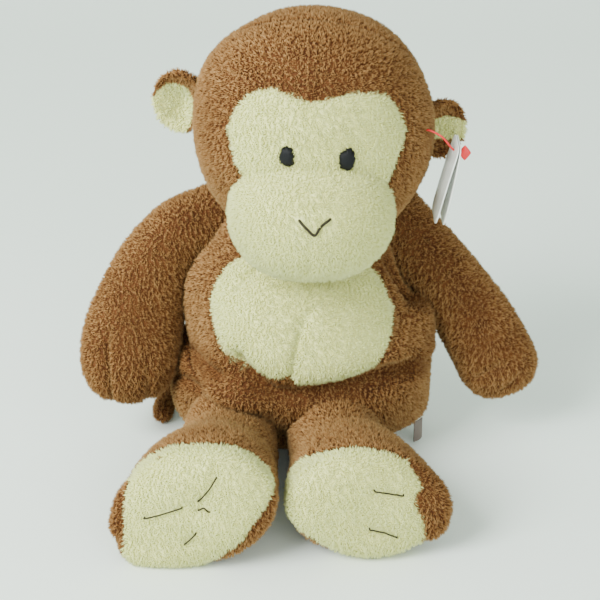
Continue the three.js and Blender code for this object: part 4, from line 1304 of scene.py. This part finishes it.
def label_place(u, v):
    """Out from the seam along u, up along v, bowed a little as a ribbon is."""
    wide, high, turn = 6.5, 11, np.radians(50)
    start = np.array([label_low[0] + 0.3, -14.0, 1.5])
    bow = 0.5 * np.sin(np.pi * u) * (1 + 0.3 * np.cos(3 * v))
    x = start[0] + wide * u * np.cos(turn) + bow * np.sin(turn)
    y = start[1] + wide * u * np.sin(turn) - bow * np.cos(turn)
    return stack(x, y, start[2] + high * v)


label = slab("ribbon_label", label_place, 0.5)
replace_with(label, "label", "sewn_label", material=RIBBON)
print("label starts at x", label_low[0].round(1))

# %% Card
TIE_RISE, TIE_TURN = np.radians(5.7), np.radians(68.6)
TIE_DIRECTION = np.array([
    np.cos(TIE_RISE) * np.sin(TIE_TURN), -np.cos(TIE_RISE) * np.cos(TIE_TURN), np.sin(TIE_RISE)])
TIE_ROOT = HEAD_CENTRE + HEAD_RADIUS * TIE_DIRECTION
CARD_TOP = TIE_ROOT + [12, 0, -4.8]
BACK_LEAN = 14.5      # the back leaf leans this many degrees
HOLE_DOWN = 4.5       # from the card's top to the middle of its hole


def leaf(name, lean, out, bend):
    """One leaf of the card: a rectangle with quarter-circle corners, bowed by a sine down its height, and a hole
    near its top. Rows of points run round the hole and spread to the edge."""
    around, count = 96, 20
    half, high, corner, hole, thick = 12.0, 37.5, 4.5, 1.6, 0.5
    angle = circle(around)
    ring = stack(np.cos(angle), np.sin(angle))
    inner = ring * hole + [0, -HOLE_DOWN]
    reach = stack(np.where(ring[:, 0] > 0, half, -half),
                  np.where(ring[:, 1] > 0, HOLE_DOWN, HOLE_DOWN - high))
    stretch = np.min(np.abs(reach) / np.maximum(np.abs(ring), 1e-6), axis=1)
    outer = ring * stretch[:, None] + [0, -HOLE_DOWN]
    centre = stack(np.sign(outer[:, 0]) * (half - corner),
                   np.where(outer[:, 1] > -high / 2, -corner, corner - high))
    past = outer - centre
    in_corner = (np.abs(outer[:, 0]) > half - corner) & ((outer[:, 1] > -corner) | (outer[:, 1] < corner - high))
    outer = np.where(in_corner[:, None], centre + unit(past) * corner, outer)
    share = np.linspace(0, 1, count)[:, None, None] ** 1.2
    flat = inner + (outer - inner) * share
    bow = bend * np.sin(np.pi * np.clip(-flat[..., 1] / high, 0, 1))
    turn = np.radians(lean)

    def face(depth):
        local_x = out + depth + bow
        x = local_x * np.cos(turn) + flat[..., 1] * np.sin(turn)
        z = -local_x * np.sin(turn) + flat[..., 1] * np.cos(turn)
        return stack(x, flat[..., 0], z) + CARD_TOP

    front, rear = face(thick), face(0.0)
    points = np.concatenate([front.reshape(-1, 3), rear.reshape(-1, 3)])
    k = np.arange(around)
    on = (k + 1) % around
    row = np.arange(count - 1)[:, None] * around
    quads = stack(row + k, row + around + k, row + around + on, row + on).reshape(-1, 4)
    shift = count * around
    rim = (count - 1) * around
    walls = [stack(k, on, on + shift, k + shift),
             stack(rim + k, rim + k + shift, rim + on + shift, rim + on)]
    return new_mesh(name, points, np.concatenate([quads, quads[:, ::-1] + shift, *walls]))


replace_with(leaf("card_back_leaf", BACK_LEAN, 0.0, -0.2), "tag", "tag_back_leaf", material=CARD_FACE)
replace_with(leaf("card_front_leaf", 10.0, 0.8, 0.4), "tag", "tag_front_leaf", material=CARD_FACE)
print("the card hangs from", CARD_TOP.round(1))

# %% Tie
RED_NYLON = new_material("red nylon", 0.3, base=(226, 26, 34))[0]
lean = np.radians(BACK_LEAN)
card_out = np.array([np.cos(lean), 0, -np.sin(lean)])
card_down = np.array([-np.sin(lean), 0, -np.cos(lean)])
card_hole = CARD_TOP + card_down * HOLE_DOWN
tie_end = card_hole + card_out * 4.4
tie_high = (TIE_ROOT + card_hole) / 2 + [0, 0, 1.5]
route = spline([TIE_ROOT - 2.5 * TIE_DIRECTION, TIE_ROOT, tie_high, card_hole, tie_end], np.linspace(0, 1, 60))
wire = tube("card_tie", route, 0.45, RED_NYLON, around=12)
replace_with(wire, "tag", "tag_tie")


def button(name, centre, half_wide, half_high, thick):
    """A rhomb with rounded edges: its outline shrinks from the middle of its thickness to each face."""
    around, bent = 64, 1.15
    angle = circle(around)
    size = 1 / (np.abs(np.cos(angle)) ** bent + np.abs(np.sin(angle)) ** bent) ** (1 / bent)
    ring = stack(half_wide * size * np.cos(angle), 0 * angle, half_high * size * np.sin(angle))
    turn = np.linspace(0, np.pi, 9)[1:-1]
    rows = [centre + ring * (0.82 + 0.18 * np.sin(t)) + [0, -thick / 2 * np.cos(t), 0] for t in turn]
    poles = [centre + [0, -thick / 2, 0], centre + [0, thick / 2, 0]]
    return new_mesh(name, np.concatenate([[poles[0]], *rows, [poles[1]]]), rings(len(rows), around))


tie_button = button("tie_button", tie_end + [0.6, -0.6, 0], 2.8, 3.6, 1.4)
tie_button.data.materials.append(RED_NYLON)
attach(tie_button, "tag")
print("tie of", len(wire.data.polygons), "faces, button of", len(tie_button.data.polygons))

# %% [markdown]
# ## Inside
# The stuffing is fibre, packed a little unevenly. It does not show, but it is there when the toy is taken apart.

# %% Stuffing of the head and the limbs
FIBRE = mottled("fibre stuffing", (232, 232, 226), (248, 248, 244), 5, 0.95, 0.3, 0.8, 0.0004)
PELLET_BAG = mottled("pellet bag", (206, 212, 208), (228, 232, 228), 3, 0.7, 0.1, 0.9, 0.0025)
FILLING = 4.4         # the filling starts this far inside a form's surface


def filling(name, form, low=0.0, high=1.0, bottom=3.0, top=1e3, rows=36, around=48, narrower=0.0):
    """A form's surface drawn in, with its dents, made lumpy. Low and high cut it off along its path, bottom and
    top flatten the cut ends, and narrower draws each ring toward its own middle by that share."""
    v = np.linspace(low, high, rows + 1)[1:-1]
    theta = circle(around)
    v_all, theta_all = np.repeat(v, around), np.tile(theta, rows - 1)
    outside = plain_surface(form, v_all, theta_all, -PILE)[0]
    points, away = plain_surface(form, v_all, theta_all, -FILLING)
    moved = sum(shape(outside) for shape in form["shaping"])
    moved = 1.2 * np.minimum(moved, 0.0) - 1.0 + 0.6 * noise(points, 9, 71)
    points = points + away * moved[:, None]
    middle = np.repeat(points.reshape(-1, around, 3).mean(axis=1), around, axis=0)
    points = points + narrower * (middle - points)
    points[:, 2] = np.clip(points[:, 2], bottom, top)
    poles = [points[:around].mean(axis=0), points[-around:].mean(axis=0)]
    return new_mesh(name, np.concatenate([poles[:1], points, poles[1:]]), rings(rows - 1, around))


for name, form in {"head": HEAD, "muzzle": MUZZLE}.items():
    replace_with(filling(name + "_filling", form), "head", name + "_stuffing", material=FIBRE)
for name, forms in {"arm": ARMS, "leg": LEGS}.items():
    for side in SIDES:
        limb = f"{name}_{side}"
        stuffing = filling(limb + "_filling", forms[side])
        stuffing.data.materials.append(FIBRE)
        across_seam(stuffing, forms[side])
        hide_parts(limb + "_stuffing")
print("filling starts", FILLING, "mm inside")

# %% Filling and pellets of the body
def share_at(form, height):
    """The v at which a form's path reaches a height."""
    v = np.linspace(0, 1, 400)
    distance = form["lengths"][-1] * (1 - np.cos(np.pi * v)) / 2
    return np.interp(height, spline(form["path"], np.interp(distance, form["lengths"], form["shares"]))[:, 2], v)


body_filling = filling("body_filling", BODY, share_at(BODY, 31), share_at(BODY, 108), 30.5, 108, 90, 150, 0.12)
replace_with(body_filling, "body", "body_stuffing", material=FIBRE)
pellet_bag = filling("pellet_bag", BODY, 0.0, share_at(BODY, 29.5), 3.0, 29.8, 40, 150)
replace_with(pellet_bag, "body", "seat_pellet_bag", material=PELLET_BAG)
print("faces of filling and pellet bag:", len(body_filling.data.polygons), len(pellet_bag.data.polygons))

# %% Neck gusset
def gusset(name):
    """A ring of cloth on a sphere about the head's centre: a rounded section carried round the neck."""
    inner, outer, thick = 10.0, 18.0, 2.4
    around, section = 72, 16
    round_it = circle(around)
    turn = circle(section)
    reach = (inner + outer) / 2 + (outer - inner) / 2 * np.cos(turn)
    down = HEAD_RADIUS + 0.4 + thick / 2 + thick / 2 * np.sin(turn)
    height = -np.sqrt(down**2 - reach**2)
    x = reach[None] * np.cos(round_it)[:, None]
    y = reach[None] * np.sin(round_it)[:, None]
    points = stack(x, y, height[None] + 0 * x).reshape(-1, 3) + HEAD_CENTRE
    i, j = np.meshgrid(np.arange(around), np.arange(section), indexing="ij")
    a = i * section + j
    b = i * section + (j + 1) % section
    c = (i + 1) % around * section + (j + 1) % section
    d = (i + 1) % around * section + j
    return new_mesh(name, points, stack(a, d, c, b).reshape(-1, 4))


neck_ring = replace_with(gusset("neck_ring"), "neck", "neck_gusset", material=BROWN_CLOTH)
print("faces of the neck ring:", len(neck_ring.data.polygons))

# %% [markdown]
# ## Studio
# A pale sheet runs from the floor up behind the toy. A large soft light stands high on the left, as in the
# photograph, and the world fills the shade.

# %% Paper sheet
FLAT_END, WALL, BEND = 700, 1200, 500     # where the sheet stops lying flat, where it stands, and its bend's radius
bend_turn = np.linspace(0.1, math.pi / 2, 14)
sheet_profile = np.concatenate([
    [[y, 0.0] for y in np.linspace(-1500, FLAT_END, 12)],
    [[FLAT_END + BEND * math.sin(t), BEND - BEND * math.cos(t)] for t in bend_turn],
    [[WALL, z] for z in np.linspace(700, 1800, 6)]])
sheet_points = np.array([[[x, y, z] for y, z in sheet_profile] for x in np.linspace(-2200, 2200, 12)])
sheet = new_mesh("paper_sheet", sheet_points.reshape(-1, 3), grid_quads(12, len(sheet_profile)), closed=False)
sheet.data.materials.append(new_material("paper", 0.85, base=(246, 254, 247))[0])
print("sheet of", len(sheet.data.polygons), "faces")

# %% World and lamps
world = bpy.data.worlds.new("studio")
bpy.context.scene.world = world
world.use_nodes = True
world.node_tree.nodes["Background"].inputs[0].default_value = colour(234, 248, 240)
world.node_tree.nodes["Background"].inputs[1].default_value = 0.99
LAMP_TINT = (0.96, 1.0, 0.97)     # slightly green, as the photograph's white is


def soft_light(name, place, aim, size, power):
    """A square lamp of the given size in metres, turned to face a point."""
    lamp = bpy.data.lights.new(name, "AREA")
    lamp.size, lamp.energy = size, power
    lamp.color = LAMP_TINT
    thing = add_object(name, lamp)
    direction = np.array(aim) - np.array(place)
    thing.location = place
    thing.rotation_euler = (
        math.atan2(math.hypot(direction[0], direction[1]), -direction[2]), 0,
        math.atan2(direction[1], direction[0]) - math.pi / 2)


BELLY = (0, -0.02, 0.09)
soft_light("key", (-0.8, -0.8, 0.9), BELLY, 0.7, 36)
soft_light("front", (0.5, -1.5, 0.6), BELLY, 1.2, 16)
print("lamps:", len(bpy.data.lights))

# %% Camera
EYE_POINT, LOOK_POINT = (0.0, -0.7753, 0.4340), (0.0, -0.014, 0.079)
lens = bpy.data.cameras.new("camera")
lens.lens, lens.sensor_width = 105.6, 36
camera = add_object("camera", lens)
camera.location = EYE_POINT
camera.rotation_euler = (
    math.pi / 2 - math.atan2(EYE_POINT[2] - LOOK_POINT[2], LOOK_POINT[1] - EYE_POINT[1]), 0, 0)
bpy.context.scene.camera = camera
print("camera at", EYE_POINT, "looking at", LOOK_POINT)
